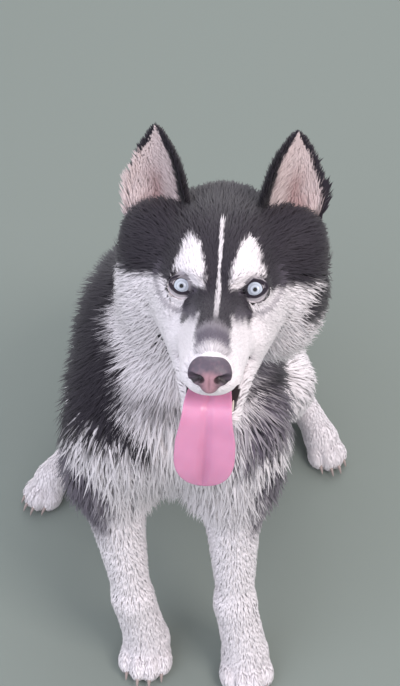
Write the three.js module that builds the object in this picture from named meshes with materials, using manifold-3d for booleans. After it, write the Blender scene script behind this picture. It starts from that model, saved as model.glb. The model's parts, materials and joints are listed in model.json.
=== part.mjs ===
// A Siberian husky that sits with its mouth open and looks up, as a life-size still model.
// Millimetres. X runs to the dog's left, Y from its nose to its tail, Z up, and the floor is Z = 0.
import * as THREE from "three";
import { mergeVertices } from "three/addons/utils/BufferGeometryUtils.js";
import Module from "manifold-3d";

const wasm = await Module();
wasm.setup();

// The gap that two touching nodes keep.
const GAP = 0.3;
// Corners of one solid that a cut leaves closer than this become one.
const SNAP = 0.01;

// Where the body is. A left and a right value stand side by side in the pairs.
const CHEST_X = -28;
const RUMP_X = -18;
const EYES = [17, 24, 640];
const HEAD_PITCH = 20;
const HEAD_YAW = -4.2;
const JAW_OPENING = 22;
const TRUNK_LEAN = 36;
const NECK_BASE = [-26, 150, 450];
const NECK_TOP = [12, 122, 560];
const LOIN = [-24, 330, 250];
const PELVIS = [RUMP_X, 452, 128];
const FORE = {
  left: {
    shoulder: [34, 90, 378],
    elbow: [37, 82, 285],
    wrist: [43, 34, 112],
    paw: [57, 8, 0],
    turn: 6,
  },
  right: {
    shoulder: [-84, 94, 380],
    elbow: [-105, 88, 288],
    wrist: [-82, 42, 112],
    paw: [-68, 28, 0],
    turn: -4,
  },
};
const HIND = {
  left: {
    hip: [37, 450, 158],
    knee: [98, 334, 182],
    hock: [122, 496, 40],
    paw: [178, 366, 0],
    turn: 22,
  },
  right: {
    hip: [-73, 450, 158],
    knee: [-120, 304, 188],
    hock: [-116, 422, 40],
    paw: [-213, 292, 0],
    turn: -37,
  },
};
const TAIL = [
  [RUMP_X, 520, 62],
  [-16, 590, 34],
  [2, 670, 28],
  [42, 745, 30],
  [92, 790, 36],
];

// How deep the coat is over the flesh, by place.
const COAT = { face: 5, crown: 12, neck: 40, trunk: 30, thigh: 22, leg: 8, paw: 4, tail: 34 };
// The share of that depth that is solid under the long coat. The rest is locks.
const CORE = 0.5;

// Sizes of the head's own pieces.
const EYE = { radius: 11.5, side: 35, ahead: -9, up: 0 };
const EAR = { length: 88, width: 72, wall: 6, cup: 20, side: 66, ahead: -84, up: 48 };
const TONGUE = { drop: 96, width: 54, thick: 9 };
const CLAW = { length: 13, radius: 3.4 };
const COLLAR = { along: 0.8, radius: 78, width: 22, thick: 3.2 };
const PAWS = { fore: { width: 68, length: 80 }, hind: { width: 56, length: 72 } };

const SIDES = { left: 1, right: -1 };
// The longest ray, a size beyond the whole dog, and the height at which a paw joins its foreleg.
const REACH = 400;
const BEYOND = 3000;
const ANKLE_Z = 76;
// A lock root keeps this far from the floor and from the pieces that hide it.
const ROOT_Z = 14;
const ROOT_ROOM = 3;
const DEG = Math.PI / 180;
const vec = (p) => new THREE.Vector3(...p);
const mix = (a, b, t) => a + (b - a) * t;
const clamp = (x, low = 0, high = 1) => Math.min(high, Math.max(low, x));

// One stream of repeatable random numbers for each coat, from 0 to 1.
function draws(seed) {
  let state = seed;
  return () => {
    state = (state * 1664525 + 1013904223) % 4294967296;
    return state / 4294967296;
  };
}

// The head's frame stands between the eyes: side is to the dog's left, ahead is along the muzzle.
function frameAt(origin, yaw, pitch) {
  const ahead = new THREE.Vector3(
    Math.sin(yaw * DEG) * Math.cos(pitch * DEG),
    -Math.cos(yaw * DEG) * Math.cos(pitch * DEG),
    Math.sin(pitch * DEG),
  );
  const side = new THREE.Vector3(Math.cos(yaw * DEG), Math.sin(yaw * DEG), 0);
  const up = ahead.clone().cross(side);
  if (up.z < 0) up.negate();
  const at = ([s, a, u]) =>
    vec(origin).addScaledVector(side, s).addScaledVector(ahead, a).addScaledVector(up, u);
  const into = (x, y, z) => {
    const p = new THREE.Vector3(x, y, z).sub(vec(origin));
    return [p.dot(side), p.dot(ahead), p.dot(up)];
  };
  return { origin, side, ahead, up, at, into };
}
const HEAD = frameAt(EYES, HEAD_YAW, HEAD_PITCH);

// The jaw's frame is the head's, turned down about the hinge by how far the mouth is open.
const HINGE = [0, -52, -40];
function jawFrame() {
  const turned = frameAt([0, 0, 0], HEAD_YAW, HEAD_PITCH - JAW_OPENING);
  const hinge = HEAD.at(HINGE);
  const shift = turned.at(HINGE);
  return frameAt(hinge.sub(shift).toArray(), HEAD_YAW, HEAD_PITCH - JAW_OPENING);
}
const JAW = jawFrame();

// Fields: each gives about how far a point is outside a shape, and is negative inside.
const egg = ([cx, cy, cz], [rx, ry, rz], lean = 0) => {
  const c = Math.cos(lean * DEG);
  const s = Math.sin(lean * DEG);
  return (x, y, z) => {
    const dy = y - cy;
    const dz = z - cz;
    const q = [(x - cx) / rx, (dy * c - dz * s) / ry, (dy * s + dz * c) / rz];
    const far = Math.hypot(...q);
    const slope = Math.hypot(q[0] / rx, q[1] / ry, q[2] / rz);
    return slope < 1e-9 ? -Math.min(rx, ry, rz) : (far * (far - 1)) / slope;
  };
};
const limb = (a, b, ra, rb) => {
  const [dx, dy, dz] = [b[0] - a[0], b[1] - a[1], b[2] - a[2]];
  const long = dx * dx + dy * dy + dz * dz;
  return (x, y, z) => {
    const [px, py, pz] = [x - a[0], y - a[1], z - a[2]];
    const t = clamp((px * dx + py * dy + pz * dz) / long);
    return Math.hypot(px - t * dx, py - t * dy, pz - t * dz) - mix(ra, rb, t);
  };
};
const blend = (k, ...fields) => (x, y, z) =>
  fields.reduce((a, f) => {
    const b = f(x, y, z);
    const h = Math.max(k - Math.abs(a - b), 0) / k;
    return Math.min(a, b) - (h * h * k) / 4;
  }, 1e6);
const carve = (k, field, cutter) => (x, y, z) => {
  const a = field(x, y, z);
  const b = -cutter(x, y, z);
  const h = Math.max(k - Math.abs(a - b), 0) / k;
  return Math.max(a, b) + (h * h * k) / 4;
};
const grown = (field, by) => (x, y, z) => field(x, y, z) - by;
const inFrame = (frame, field) => (x, y, z) => field(...frame.into(x, y, z));
const both = (make) => Object.values(SIDES).map(make);

// The skull, brows, cheeks, muzzle and lips, as flesh, in the head's frame.
const headFlesh = inFrame(
  HEAD,
  carve(
    8,
    blend(
      16,
      egg([0, -62, 12], [53, 64, 48]),
      ...both((s) => egg([19 * s, -13, 13], [19, 24, 17])),
      ...both((s) => egg([37 * s, -44, -20], [26, 44, 33])),
      limb([0, 0, -22], [0, 84, -39], 27, 19),
      limb([0, 10, -9], [0, 94, -25], 12, 9),
      ...both((s) => limb([22 * s, 2, -44], [12 * s, 84, -50], 14, 11)),
      ...both((s) => limb([36 * s, -40, -40], [30 * s, -6, -54], 20, 15)),
      egg([0, 84, -44], [19, 16, 18]),
    ),
    egg([0, 34, -80], [16, 66, 20]),
  ),
);

// The two halves of the lower jaw, the chin and the floor between them, in the jaw's frame.
const jawFlesh = inFrame(
  JAW,
  blend(
    10,
    ...both((s) => limb([31 * s, -28, -54], [14 * s, 62, -63], 15, 9)),
    egg([0, 66, -64], [22, 13, 10]),
    limb([0, -18, -62], [0, 58, -66], 16, 7),
  ),
);

// The neck, and where the collar goes round it.
const NECK_AXIS = vec(NECK_TOP).sub(vec(NECK_BASE)).normalize();
const COLLAR_CENTRE = vec(NECK_BASE).lerp(vec(NECK_TOP), COLLAR.along);
const neckFlesh = limb(NECK_BASE, NECK_TOP, 76, 54);

// The ribs, withers, shoulders and upper arms.
const chestFlesh = blend(
  40,
  egg([CHEST_X, 200, 365], [80, 165, 122], TRUNK_LEAN),
  egg([CHEST_X, 222, 448], [46, 80, 48], TRUNK_LEAN),
  ...Object.keys(SIDES).flatMap((name) => {
    const { shoulder, elbow } = FORE[name];
    const blade = [CHEST_X + 44 * SIDES[name], 165, 478];
    const arm = shoulder.map((value, i) => mix(value, elbow[i], 0.6));
    return [limb(blade, shoulder, 30, 34), limb(shoulder, arm, 34, 34)];
  }),
);
const SEAT = [RUMP_X, 445, 76];
const rumpFlesh = blend(
  40,
  limb(LOIN, PELVIS, 98, 90),
  egg(PELVIS, [84, 92, 106], 20),
  egg(SEAT, [74, 88, 70]),
);
const trunkFlesh = blend(50, chestFlesh, rumpFlesh);

const foreFlesh = ({ shoulder, elbow, wrist, paw }) =>
  blend(
    14,
    limb(shoulder, elbow, 30, 32),
    limb(elbow, wrist, 32, 17),
    limb(wrist, [paw[0], paw[1] + 8, 38], 17, 20),
  );
const thighFlesh = ({ hip, knee }) => limb(hip, knee, 84, 42);
const shankFlesh = ({ knee, hock }) => limb(knee, hock, 38, 22);
const tailFlesh = blend(16, ...TAIL.slice(1).map((p, i) => limb(TAIL[i], p, 22 - 3 * i, 19 - 3 * i)));

// A spine that rays leave: a smooth curve, with the ray's frame at each place along it.
function spineOf(points, side = [1, 0, 0]) {
  const curve = new THREE.CatmullRomCurve3(points.map(vec), false, "centripetal");
  return (at, angle, tilt = 0) => {
    const along = curve.getTangentAt(at);
    const across = vec(side).addScaledVector(along, -along.dot(vec(side))).normalize();
    const over = along.clone().cross(across);
    const ray = across
      .multiplyScalar(Math.cos(angle))
      .addScaledVector(over, Math.sin(angle))
      .multiplyScalar(Math.cos(tilt))
      .addScaledVector(along, Math.sin(tilt));
    return [curve.getPointAt(at), ray];
  };
}

// Where a ray from inside a field comes out of it.
function shoot(field, [from, ray]) {
  const out = from.clone();
  let near = 0;
  let far = 0;
  let value = field(...from);
  while (value < 0 && far < REACH) {
    near = far;
    far += Math.max(-value * 0.7, 0.6);
    value = field(...out.copy(from).addScaledVector(ray, far));
  }
  for (let i = 0; i < 14; i++) {
    const middle = (near + far) / 2;
    if (field(...out.copy(from).addScaledVector(ray, middle)) < 0) near = middle;
    else far = middle;
  }
  return out.copy(from).addScaledVector(ray, Math.max(far, 0.5));
}

// A closed skin over a field: rings of rays leave a spine square to it and fan out over both ends.
function wrap(field, points, { rings, around, caps = 3, side }) {
  const spine = spineOf(points, side);
  const step = Math.PI / 2 / (caps + 1);
  const rows = [];
  for (let i = caps; i >= 1; i--) rows.push([0, -i * step]);
  for (let i = 0; i <= rings; i++) rows.push([i / rings, 0]);
  for (let i = 1; i <= caps; i++) rows.push([1, i * step]);
  const places = rows.flatMap(([at, tilt]) =>
    Array.from({ length: around }, (_, j) => shoot(field, spine(at, (j / around) * 2 * Math.PI, tilt))),
  );
  const start = shoot(field, spine(0, 0, -Math.PI / 2));
  const end = shoot(field, spine(1, 0, Math.PI / 2));
  return closed(places, around, start, end);
}

// Rows of points, each row a ring, closed into one body by a point at each end.
function closed(places, around, start, end) {
  const rows = places.length / around;
  const index = [];
  for (let i = 0; i < rows - 1; i++)
    for (let j = 0; j < around; j++) {
      const k = (j + 1) % around;
      const [a, b, c, d] = [i * around + j, i * around + k, (i + 1) * around + k, (i + 1) * around + j];
      index.push(a, b, c, a, c, d);
    }
  const first = places.length;
  const last = first + 1;
  for (let j = 0; j < around; j++) {
    const k = (j + 1) % around;
    index.push(first, k, j);
    index.push(last, (rows - 1) * around + j, (rows - 1) * around + k);
  }
  const geometry = new THREE.BufferGeometry();
  const flat = [...places, start, end].flatMap((p) => p.toArray());
  geometry.setAttribute("position", new THREE.Float32BufferAttribute(flat, 3));
  geometry.setIndex(index);
  return geometry;
}

// Moves every corner out, the way that its faces share best and far enough for all of them to move by grow.
function swell(geometry, grow) {
  const { position } = geometry.attributes;
  const corners = [...geometry.index.array];
  const at = (k) => new THREE.Vector3().fromBufferAttribute(position, k);
  const faces = Array.from({ length: position.count }, () => []);
  for (let i = 0; i < corners.length; i += 3) {
    const face = new THREE.Triangle(...corners.slice(i, i + 3).map(at)).getNormal(new THREE.Vector3());
    if (face.lengthSq() > 0.5) for (const k of corners.slice(i, i + 3)) faces[k].push(face);
  }
  faces.forEach((around, k) => {
    const way = around.reduce((sum, face) => sum.add(face), new THREE.Vector3()).normalize();
    const worst = () => around.reduce((a, b) => (a.dot(way) < b.dot(way) ? a : b));
    for (let step = 0.5; step > 0.01; step *= 0.85) way.addScaledVector(worst(), step).normalize();
    position.setXYZ(k, ...at(k).addScaledVector(way, grow / clamp(worst().dot(way), 0.2)));
  });
}

// A geometry as a solid that can be joined and cut, with its surface moved out by grow.
function solid(geometry, grow = 0) {
  const bare = geometry.index ? geometry.toNonIndexed() : geometry.clone();
  bare.deleteAttribute("normal");
  bare.deleteAttribute("uv");
  const merged = mergeVertices(bare, 1e-4);
  const index = new Uint32Array(merged.index.array);
  const body = () =>
    new wasm.Manifold(
      new wasm.Mesh({ numProp: 3, vertProperties: merged.attributes.position.array, triVerts: index }),
    );
  if (body().volume() < 0) for (let i = 0; i < index.length; i += 3) index.subarray(i, i + 2).reverse();
  merged.setIndex(new THREE.BufferAttribute(index, 1));
  if (grow) swell(merged, grow);
  return body();
}

// The field's slope at a point, as a unit vector that points out of the shape.
function outward(field, p) {
  const e = 0.8;
  return new THREE.Vector3(
    field(p.x + e, p.y, p.z) - field(p.x - e, p.y, p.z),
    field(p.x, p.y + e, p.z) - field(p.x, p.y - e, p.z),
    field(p.x, p.y, p.z + e) - field(p.x, p.y, p.z - e),
  ).normalize();
}

// A flat tapered lock of hair: it is combed over the field from its root, lifts to its tip and bends.
const LOCK_SECTION = [
  [1, -0.4],
  [0, 0.9],
  [-1, -0.4],
];
function lock(field, root, flow, { length, width, thick, lift, bend }) {
  const steps = 4;
  const sink = 0.5 * thick + 2;
  const places = [];
  const p = root.clone();
  let tip;
  for (let i = 0; i <= steps; i++) {
    const t = i / steps;
    const normal = outward(field, p);
    const way = flow(p);
    way.addScaledVector(normal, -way.dot(normal)).normalize();
    const across = normal.clone().cross(way);
    way.addScaledVector(across, bend * t).normalize();
    across.copy(normal).cross(way);
    const level = p.clone().addScaledVector(normal, mix(-sink, lift, t) - field(p.x, p.y, p.z));
    const half = (width / 2) * (0.7 + 1.2 * t) * Math.sqrt(1 - t);
    const deep = (thick / 2) * Math.sqrt(1 - t * 0.9);
    if (i === steps) tip = level;
    else
      for (const [u, v] of LOCK_SECTION)
        places.push(level.clone().addScaledVector(across, u * half).addScaledVector(normal, v * deep));
    p.addScaledVector(way, length / steps);
    p.addScaledVector(outward(field, p), -field(p.x, p.y, p.z));
  }
  const start = new THREE.Vector3();
  for (const q of places.slice(0, LOCK_SECTION.length)) start.addScaledVector(q, 1 / LOCK_SECTION.length);
  return closed(places, LOCK_SECTION.length, start, tip);
}

// Rows of locks over a field, set out from a spine with a little disorder. Where bare(p) holds, none grows.
function coat(field, over, points, { rows, each, flow, size, bare, seed }) {
  const draw = draws(seed);
  const spine = spineOf(points);
  const locks = [];
  for (let i = 0; i < rows; i++)
    for (let j = 0; j < each; j++) {
      const at = clamp((i + 0.5 + (draw() - 0.5) * 0.4) / rows);
      const angle = ((j + (i % 2) * 0.5 + (draw() - 0.5) * 0.35) / each) * 2 * Math.PI;
      const root = shoot(field, spine(at, angle));
      const vary = mix(0.82, 1.18, draw());
      const bend = (draw() - 0.5) * 0.7;
      if (bare(root)) continue;
      const { length, width, thick, lift } = size(root);
      locks.push(lock(over, root, flow, { length: length * vary, width, thick, lift: lift * vary, bend }));
    }
  return locks;
}

// Nodes are made in order. Each gives way, by the gap, to the nodes before it that it meets.
const dog = new THREE.Group();
const made = [];
const floor = solid(new THREE.BoxGeometry(BEYOND, BEYOND, BEYOND).translate(0, 0, -BEYOND / 2));
function meets(a, b) {
  const [p, q] = [a.boundingBox(), b.boundingBox()];
  return [0, 1, 2].every((i) => p.min[i] < q.max[i] && q.min[i] < p.max[i]);
}
const largest = (shape) => shape.decompose().sort((a, b) => b.volume() - a.volume())[0];
// A solid's surface, with its corners on a fine grid, where those that a cut left side by side become one.
function snapped(shape) {
  const { vertProperties, triVerts } = shape.getMesh();
  const geometry = new THREE.BufferGeometry();
  const places = new Float32Array(vertProperties).map((value) => Math.round(value / SNAP) * SNAP);
  geometry.setAttribute("position", new THREE.BufferAttribute(places, 3));
  geometry.setIndex(new THREE.BufferAttribute(new Uint32Array(triVerts), 1));
  return geometry;
}
function node(name, material, pieces, { without = [], locks = [] } = {}) {
  const joined = (shapes, grow) => wasm.Manifold.union(shapes.map((shape) => solid(shape, grow)));
  const build = (grow) => {
    let core = joined(pieces, grow);
    for (const cutter of without) core = core.subtract(solid(cutter(grow)));
    return locks.length ? core.add(joined(locks, grow)) : core;
  };
  let shape = build(0).subtract(floor);
  for (const other of made) if (meets(shape, other.clear)) shape = shape.subtract(other.clear);
  let body = largest(shape);
  for (let pass = 0; pass < 3; pass++) body = largest(solid(snapped(body)));
  made.push({ name, clear: build(GAP).add(body) });
  const geometry = snapped(body);
  geometry.computeVertexNormals();
  const mesh = new THREE.Mesh(geometry, material);
  mesh.name = name;
  dog.add(mesh);
}

const finish = (color, roughness, metalness = 0) =>
  new THREE.MeshStandardMaterial({ color, roughness, metalness });
const MATERIAL = {
  black: finish(0x2b2630, 0.85),
  white: finish(0xe9e1ea, 0.85),
  nose: finish(0x6f5866, 0.45),
  tongue: finish(0xdf93bd, 0.35),
  eye: finish(0xb9c6d8, 0.1),
  collar: finish(0x26242a, 0.7),
  steel: finish(0xb8b9bd, 0.3, 1),
};
const list = (frame, ...points) => points.map((p) => frame.at(p).toArray());

// An ellipsoid whose own axes are those of a frame, round a point of that frame.
function ellipsoid(frame, centre, radii, segments = [10, 7]) {
  const shape = new THREE.SphereGeometry(1, ...segments).scale(...radii);
  shape.applyMatrix4(new THREE.Matrix4().makeBasis(frame.side, frame.ahead, frame.up));
  return shape.translate(...frame.at(centre).toArray());
}

// The eyes are whole balls that the lids close round.
const eyeAt = (s) => [EYE.side * s, EYE.ahead, EYE.up];
for (const [name, s] of Object.entries(SIDES))
  node(`eye_${name}`, MATERIAL.eye, [ellipsoid(HEAD, eyeAt(s), [EYE.radius, EYE.radius, EYE.radius])]);

// The tongue lies along the jaw, goes over its front and hangs.
function tongue() {
  const front = JAW.at([-3, 80, -45]);
  const spine = [JAW.at([0, 6, -47]), JAW.at([0, 34, -48]), JAW.at([-2, 60, -44]), front];
  for (const share of [0.35, 0.7, 1])
    spine.push(front.clone().add(vec([-3 * share, -14 * share * (1.8 - share), -TONGUE.drop * share])));
  const curve = new THREE.CatmullRomCurve3(spine, false, "centripetal");
  const rows = 10;
  const around = 10;
  const places = [];
  for (let i = 0; i < rows; i++) {
    const t = i / (rows - 1);
    const along = curve.getTangentAt(mix(0.01, 0.985, t));
    const across = HEAD.side.clone().addScaledVector(along, -along.dot(HEAD.side)).normalize();
    const over = along.clone().cross(across);
    const round = Math.sqrt(1 - Math.max(0, (t - 0.7) / 0.33) ** 2.4);
    const half = mix(14, TONGUE.width / 2, clamp(t * 1.3)) * round;
    for (let j = 0; j < around; j++) {
      const angle = (j / around) * 2 * Math.PI;
      const deep = TONGUE.thick * (0.5 * Math.sin(angle) + 0.35 * Math.cos(angle) ** 2);
      const at = curve.getPointAt(mix(0.01, 0.985, t));
      places.push(at.addScaledVector(across, half * Math.cos(angle)).addScaledVector(over, deep));
    }
  }
  return closed(places, around, curve.getPointAt(0), curve.getPointAt(1));
}
node("tongue", MATERIAL.tongue, [tongue()]);

// The lower jaw with its two long front teeth.
const tooth = (s) =>
  new THREE.ConeGeometry(3.4, 19, 8)
    .rotateX(Math.PI / 2 - (HEAD_PITCH - JAW_OPENING) * DEG)
    .translate(...JAW.at([19 * s, 64, -47]).toArray());
const jawSkin = grown(jawFlesh, COAT.face);
node("jaw", MATERIAL.white, [
  wrap(jawSkin, list(JAW, [0, -24, -58], [0, 62, -63]), { rings: 5, around: 12, caps: 2 }),
  ...both(tooth),
]);

// The nose is a pad on the muzzle's end, with a nostril on each side.
const nosePad = blend(
  4,
  inFrame(HEAD, egg([0, 102, -33], [19, 14, 13])),
  inFrame(HEAD, egg([0, 106, -42], [10, 9, 13])),
);
const nostril = (s) => () => {
  const hole = inFrame(HEAD, egg([9.5 * s, 116, -36], [4.4, 9, 3.4]));
  return wrap(hole, list(HEAD, [9.5 * s, 112, -36], [9.5 * s, 118, -36]), { rings: 2, around: 8, caps: 2 });
};
const pad = wrap(nosePad, list(HEAD, [0, 97, -37], [0, 106, -37]), { rings: 3, around: 14, caps: 2 });
node("nose", MATERIAL.nose, [pad], { without: both(nostril) });

// An ear: a shell whose cup opens ahead and a little outwards, drawn in to a rounded tip.
function ear(s) {
  const base = HEAD.at([EAR.side * s, EAR.ahead, EAR.up]);
  const rise = HEAD.up.clone().addScaledVector(HEAD.side, 0.02 * s);
  rise.addScaledVector(HEAD.ahead, 0.06).normalize();
  const open = HEAD.ahead.clone().addScaledVector(HEAD.side, 0.5 * s);
  open.addScaledVector(rise, -open.dot(rise)).normalize();
  const level = rise.clone().cross(open).multiplyScalar(-s);
  const arc = [-90, -55, -20, 20, 55, 90];
  const places = [];
  for (const h of [-0.3, 0, 0.2, 0.4, 0.6, 0.78, 0.91]) {
    const root = Math.max(0, -h);
    const free = Math.min(1, 1 - h);
    const half = (EAR.width / 2) * (1 - 1.6 * root) * Math.pow(free, 0.66);
    const cup = EAR.cup * (1 - 2.4 * root) * Math.pow(free, 0.8);
    const wall = EAR.wall * mix(0.5, 1, free) * (1 + 1.8 * root);
    const centre = base.clone().addScaledVector(rise, EAR.length * h).addScaledVector(level, -50 * root);
    const put = (w, d) =>
      places.push(
        centre
          .clone()
          .addScaledVector(level, w)
          .addScaledVector(open, d)
          .addScaledVector(rise, -0.36 * w * free ** 2),
      );
    for (const a of arc) put(half * Math.sin(a * DEG), -cup * Math.cos(a * DEG));
    for (const a of [...arc].reverse().slice(1, -1))
      put((half - wall * 0.5) * Math.sin(a * DEG), (wall - cup) * Math.cos(a * DEG));
  }
  const tip = base.clone().addScaledVector(rise, EAR.length * 0.985);
  const start = base.clone().addScaledVector(rise, -0.34 * EAR.length).addScaledVector(level, -15);
  return closed(places, 2 * arc.length - 2, start, tip);
}
for (const [name, s] of Object.entries(SIDES)) node(`ear_${name}`, MATERIAL.black, [ear(s)]);

// The head: skull, muzzle and cheeks in one skin, with the lids round each eye and the ruff's locks.
const lid = (s) => inFrame(HEAD, egg(eyeAt(s), [EYE.radius + 3, EYE.radius + 2.6, EYE.radius + 2.4]));
const cheekFur = (s) => inFrame(HEAD, egg([40 * s, -84, -11], [44, 36, 50]));
const earBase = (s) => inFrame(HEAD, egg([64 * s, -84, 34], [34, 24, 30]));
const headSkin = blend(
  12,
  blend(5, grown(headFlesh, COAT.face), ...both(lid)),
  grown(inFrame(HEAD, egg([0, -66, 16], [56, 64, 48])), COAT.crown),
  ...both(cheekFur),
  ...both(earBase),
);
// The cores under the long coat, and all of them as one body, over which every lock is combed.
const neckCore = grown(neckFlesh, COAT.neck * CORE);
const trunkCore = grown(trunkFlesh, COAT.trunk * CORE);
const thighCores = Object.values(HIND).map((leg) => grown(thighFlesh(leg), COAT.thigh * CORE));
const tailCore = grown(tailFlesh, COAT.tail * CORE);
const legs = [
  ...Object.values(FORE).map((leg) => grown(foreFlesh(leg), COAT.leg)),
  ...Object.values(HIND).map((leg) => grown(shankFlesh(leg), COAT.leg)),
];
const bodyCore = blend(1, headSkin, neckCore, trunkCore, ...thighCores, ...legs, tailCore);
const downBack = () => new THREE.Vector3(0, 0.5, -0.85);
const hidden = (...fields) => (p) => p.z < ROOT_Z || fields.some((field) => field(...p) < ROOT_ROOM);

// The slit between the lids: two arcs that meet at the corners, cut out along the gaze.
const slit = (s) => () => {
  const [wide, high] = [EYE.radius * 1.12, EYE.radius * 0.66];
  const outline = new THREE.Shape();
  outline.moveTo(-wide, -1);
  outline.quadraticCurveTo(0, high * 2, wide, 1.5);
  outline.quadraticCurveTo(0, -high * 1.9, -wide, -1);
  const prism = new THREE.ExtrudeGeometry(outline, { depth: 30, bevelEnabled: false, curveSegments: 8 });
  const gaze = HEAD.ahead.clone().addScaledVector(HEAD.side, 0.22 * s);
  gaze.addScaledVector(HEAD.up, 0.12).normalize();
  const level = HEAD.side.clone().multiplyScalar(s).addScaledVector(HEAD.up, 0.24);
  level.addScaledVector(gaze, -level.dot(gaze)).normalize();
  prism.applyMatrix4(new THREE.Matrix4().makeBasis(level, gaze.clone().cross(level), gaze));
  return prism.translate(...HEAD.at(eyeAt(s)).toArray());
};
const HEAD_SPINE = list(HEAD, [0, -84, 2], [0, -30, -6], [0, 20, -26], [0, 86, -38]);
const cheekFlow = (p) => {
  const s = Math.sign(HEAD.into(...p)[0]);
  const way = HEAD.ahead.clone().multiplyScalar(-0.75);
  return way.addScaledVector(HEAD.up, -0.7).addScaledVector(HEAD.side, 0.3 * s);
};
node(
  "head",
  MATERIAL.black,
  [wrap(headSkin, HEAD_SPINE, { rings: 12, around: 20, caps: 3, side: HEAD.side.toArray() })],
  {
    without: both(slit),
    locks: coat(headSkin, bodyCore, list(HEAD, [0, -96, -8], [0, -44, -10]), {
      rows: 3,
      each: 16,
      flow: cheekFlow,
      size: () => ({ length: 66, width: 34, thick: 9, lift: 22 }),
      bare: (p) => {
        const [side, ahead, up] = HEAD.into(...p);
        return Math.abs(side) < 42 || ahead > -34 || up > 26;
      },
      seed: 2,
    }),
  },
);

// The collar, and at the nape the ring that a lead would clip to.
const NAPE = new THREE.Vector3(0, 1, 0).addScaledVector(NECK_AXIS, -NECK_AXIS.y).normalize();
function collar() {
  const [inner, outer, half] = [COLLAR.radius, COLLAR.radius + COLLAR.thick, COLLAR.width / 2];
  const profile = [
    [inner, -half],
    [outer, -half],
    [outer, half],
    [inner, half],
    [inner, -half],
  ].map((p) => new THREE.Vector2(...p));
  const band = new THREE.LatheGeometry(profile, 24);
  band.applyQuaternion(new THREE.Quaternion().setFromUnitVectors(new THREE.Vector3(0, 1, 0), NECK_AXIS));
  return band.translate(...COLLAR_CENTRE);
}
function collarRing() {
  const ring = new THREE.TorusGeometry(11, 1.7, 6, 16);
  const level = NAPE.clone().cross(NECK_AXIS);
  ring.applyMatrix4(new THREE.Matrix4().makeBasis(level, NAPE, level.clone().cross(NAPE)));
  return ring.translate(...COLLAR_CENTRE.clone().addScaledVector(NAPE, COLLAR.radius + 9));
}
node("collar", MATERIAL.collar, [collar()]);
node("collar_ring", MATERIAL.steel, [collarRing()]);

// The neck, combed down and back, with no roots under the collar.
const nearCollar = (x, y, z) =>
  Math.abs(new THREE.Vector3(x, y, z).sub(COLLAR_CENTRE).dot(NECK_AXIS)) - COLLAR.width / 2 - 6;
node("neck", MATERIAL.black, [wrap(neckCore, [NECK_BASE, NECK_TOP], { rings: 4, around: 14, caps: 2 })], {
  locks: coat(neckCore, bodyCore, [NECK_BASE, NECK_TOP], {
    rows: 3,
    each: 11,
    flow: downBack,
    size: () => ({ length: 84, width: 50, thick: 12, lift: COAT.neck * (1 - CORE) }),
    bare: hidden(headSkin, trunkCore, nearCollar),
    seed: 3,
  }),
});

// The trunk, parted behind the ribs into the chest with the shoulders and the rump with the loin.
const trunk = wrap(
  trunkCore,
  [[CHEST_X, 120, 420], [CHEST_X, 215, 355], LOIN, [-20, 400, 180], PELVIS],
  { rings: 12, around: 18, caps: 3 },
);
const PARTING = frameAt([CHEST_X, 300, 290], 0, 40);
const beyond = (way) => (grow) => {
  const box = new THREE.BoxGeometry(BEYOND, BEYOND, BEYOND);
  box.translate(0, way * (BEYOND / 2 + GAP / 2 + grow), 0);
  box.applyMatrix4(new THREE.Matrix4().makeBasis(PARTING.side, PARTING.ahead, PARTING.up));
  return box.translate(...PARTING.origin);
};
const chestSpine = [[CHEST_X, 88, 450], [CHEST_X, 215, 355], [-25, 290, 290]];
const rumpSpine = [[-25, 290, 290], LOIN, [-20, 400, 180], PELVIS];
const aheadOfParting = (x, y, z) => -PARTING.into(x, y, z)[1] - 34;
node("chest", MATERIAL.black, [trunk], {
  without: [beyond(-1)],
  locks: coat(trunkCore, bodyCore, chestSpine, {
    rows: 5,
    each: 11,
    flow: (p) => new THREE.Vector3(0, p.y < 110 ? -0.1 : 0.5, -0.85),
    size: () => ({ length: 84, width: 50, thick: 12, lift: COAT.trunk * (1 - CORE) }),
    bare: hidden(grown(neckCore, 10), ...legs),
    seed: 5,
  }),
});
node("rump", MATERIAL.black, [trunk], {
  without: [beyond(1)],
  locks: coat(trunkCore, bodyCore, rumpSpine, {
    rows: 5,
    each: 10,
    flow: () => new THREE.Vector3(0, 0.75, -0.66),
    size: () => ({ length: 80, width: 52, thick: 11, lift: COAT.trunk * (1 - CORE) }),
    bare: hidden(...thighCores.map((core) => grown(core, 10)), aheadOfParting),
    seed: 7,
  }),
});

// The legs.
Object.keys(SIDES).forEach((name, i) => {
  const { hip, knee } = HIND[name];
  const skin = wrap(thighCores[i], [hip, knee], { rings: 5, around: 14, caps: 3 });
  node(`thigh_${name}`, MATERIAL.black, [skin], {
    locks: coat(thighCores[i], bodyCore, [hip, knee], {
      rows: 3,
      each: 8,
      flow: () => new THREE.Vector3(0, 0.6, -0.8),
      size: () => ({ length: 64, width: 44, thick: 10, lift: COAT.thigh * (1 - CORE) }),
      bare: hidden(trunkCore, ...legs),
      seed: 11,
    }),
  });
});
for (const name of Object.keys(SIDES)) {
  const { shoulder, elbow, wrist, paw } = FORE[name];
  const skin = grown(foreFlesh(FORE[name]), COAT.leg);
  const end = [paw[0], paw[1] + 10, 40];
  const arm = shoulder.map((value, i) => mix(value, elbow[i], 0.5));
  const leg = wrap(skin, [arm, elbow, wrist, end], { rings: 9, around: 12, caps: 1 });
  const below = (grow) =>
    new THREE.BoxGeometry(BEYOND, BEYOND, BEYOND).translate(0, 0, ANKLE_Z - BEYOND / 2 - grow);
  node(`foreleg_${name}`, MATERIAL.white, [leg], { without: [below] });
}
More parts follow.
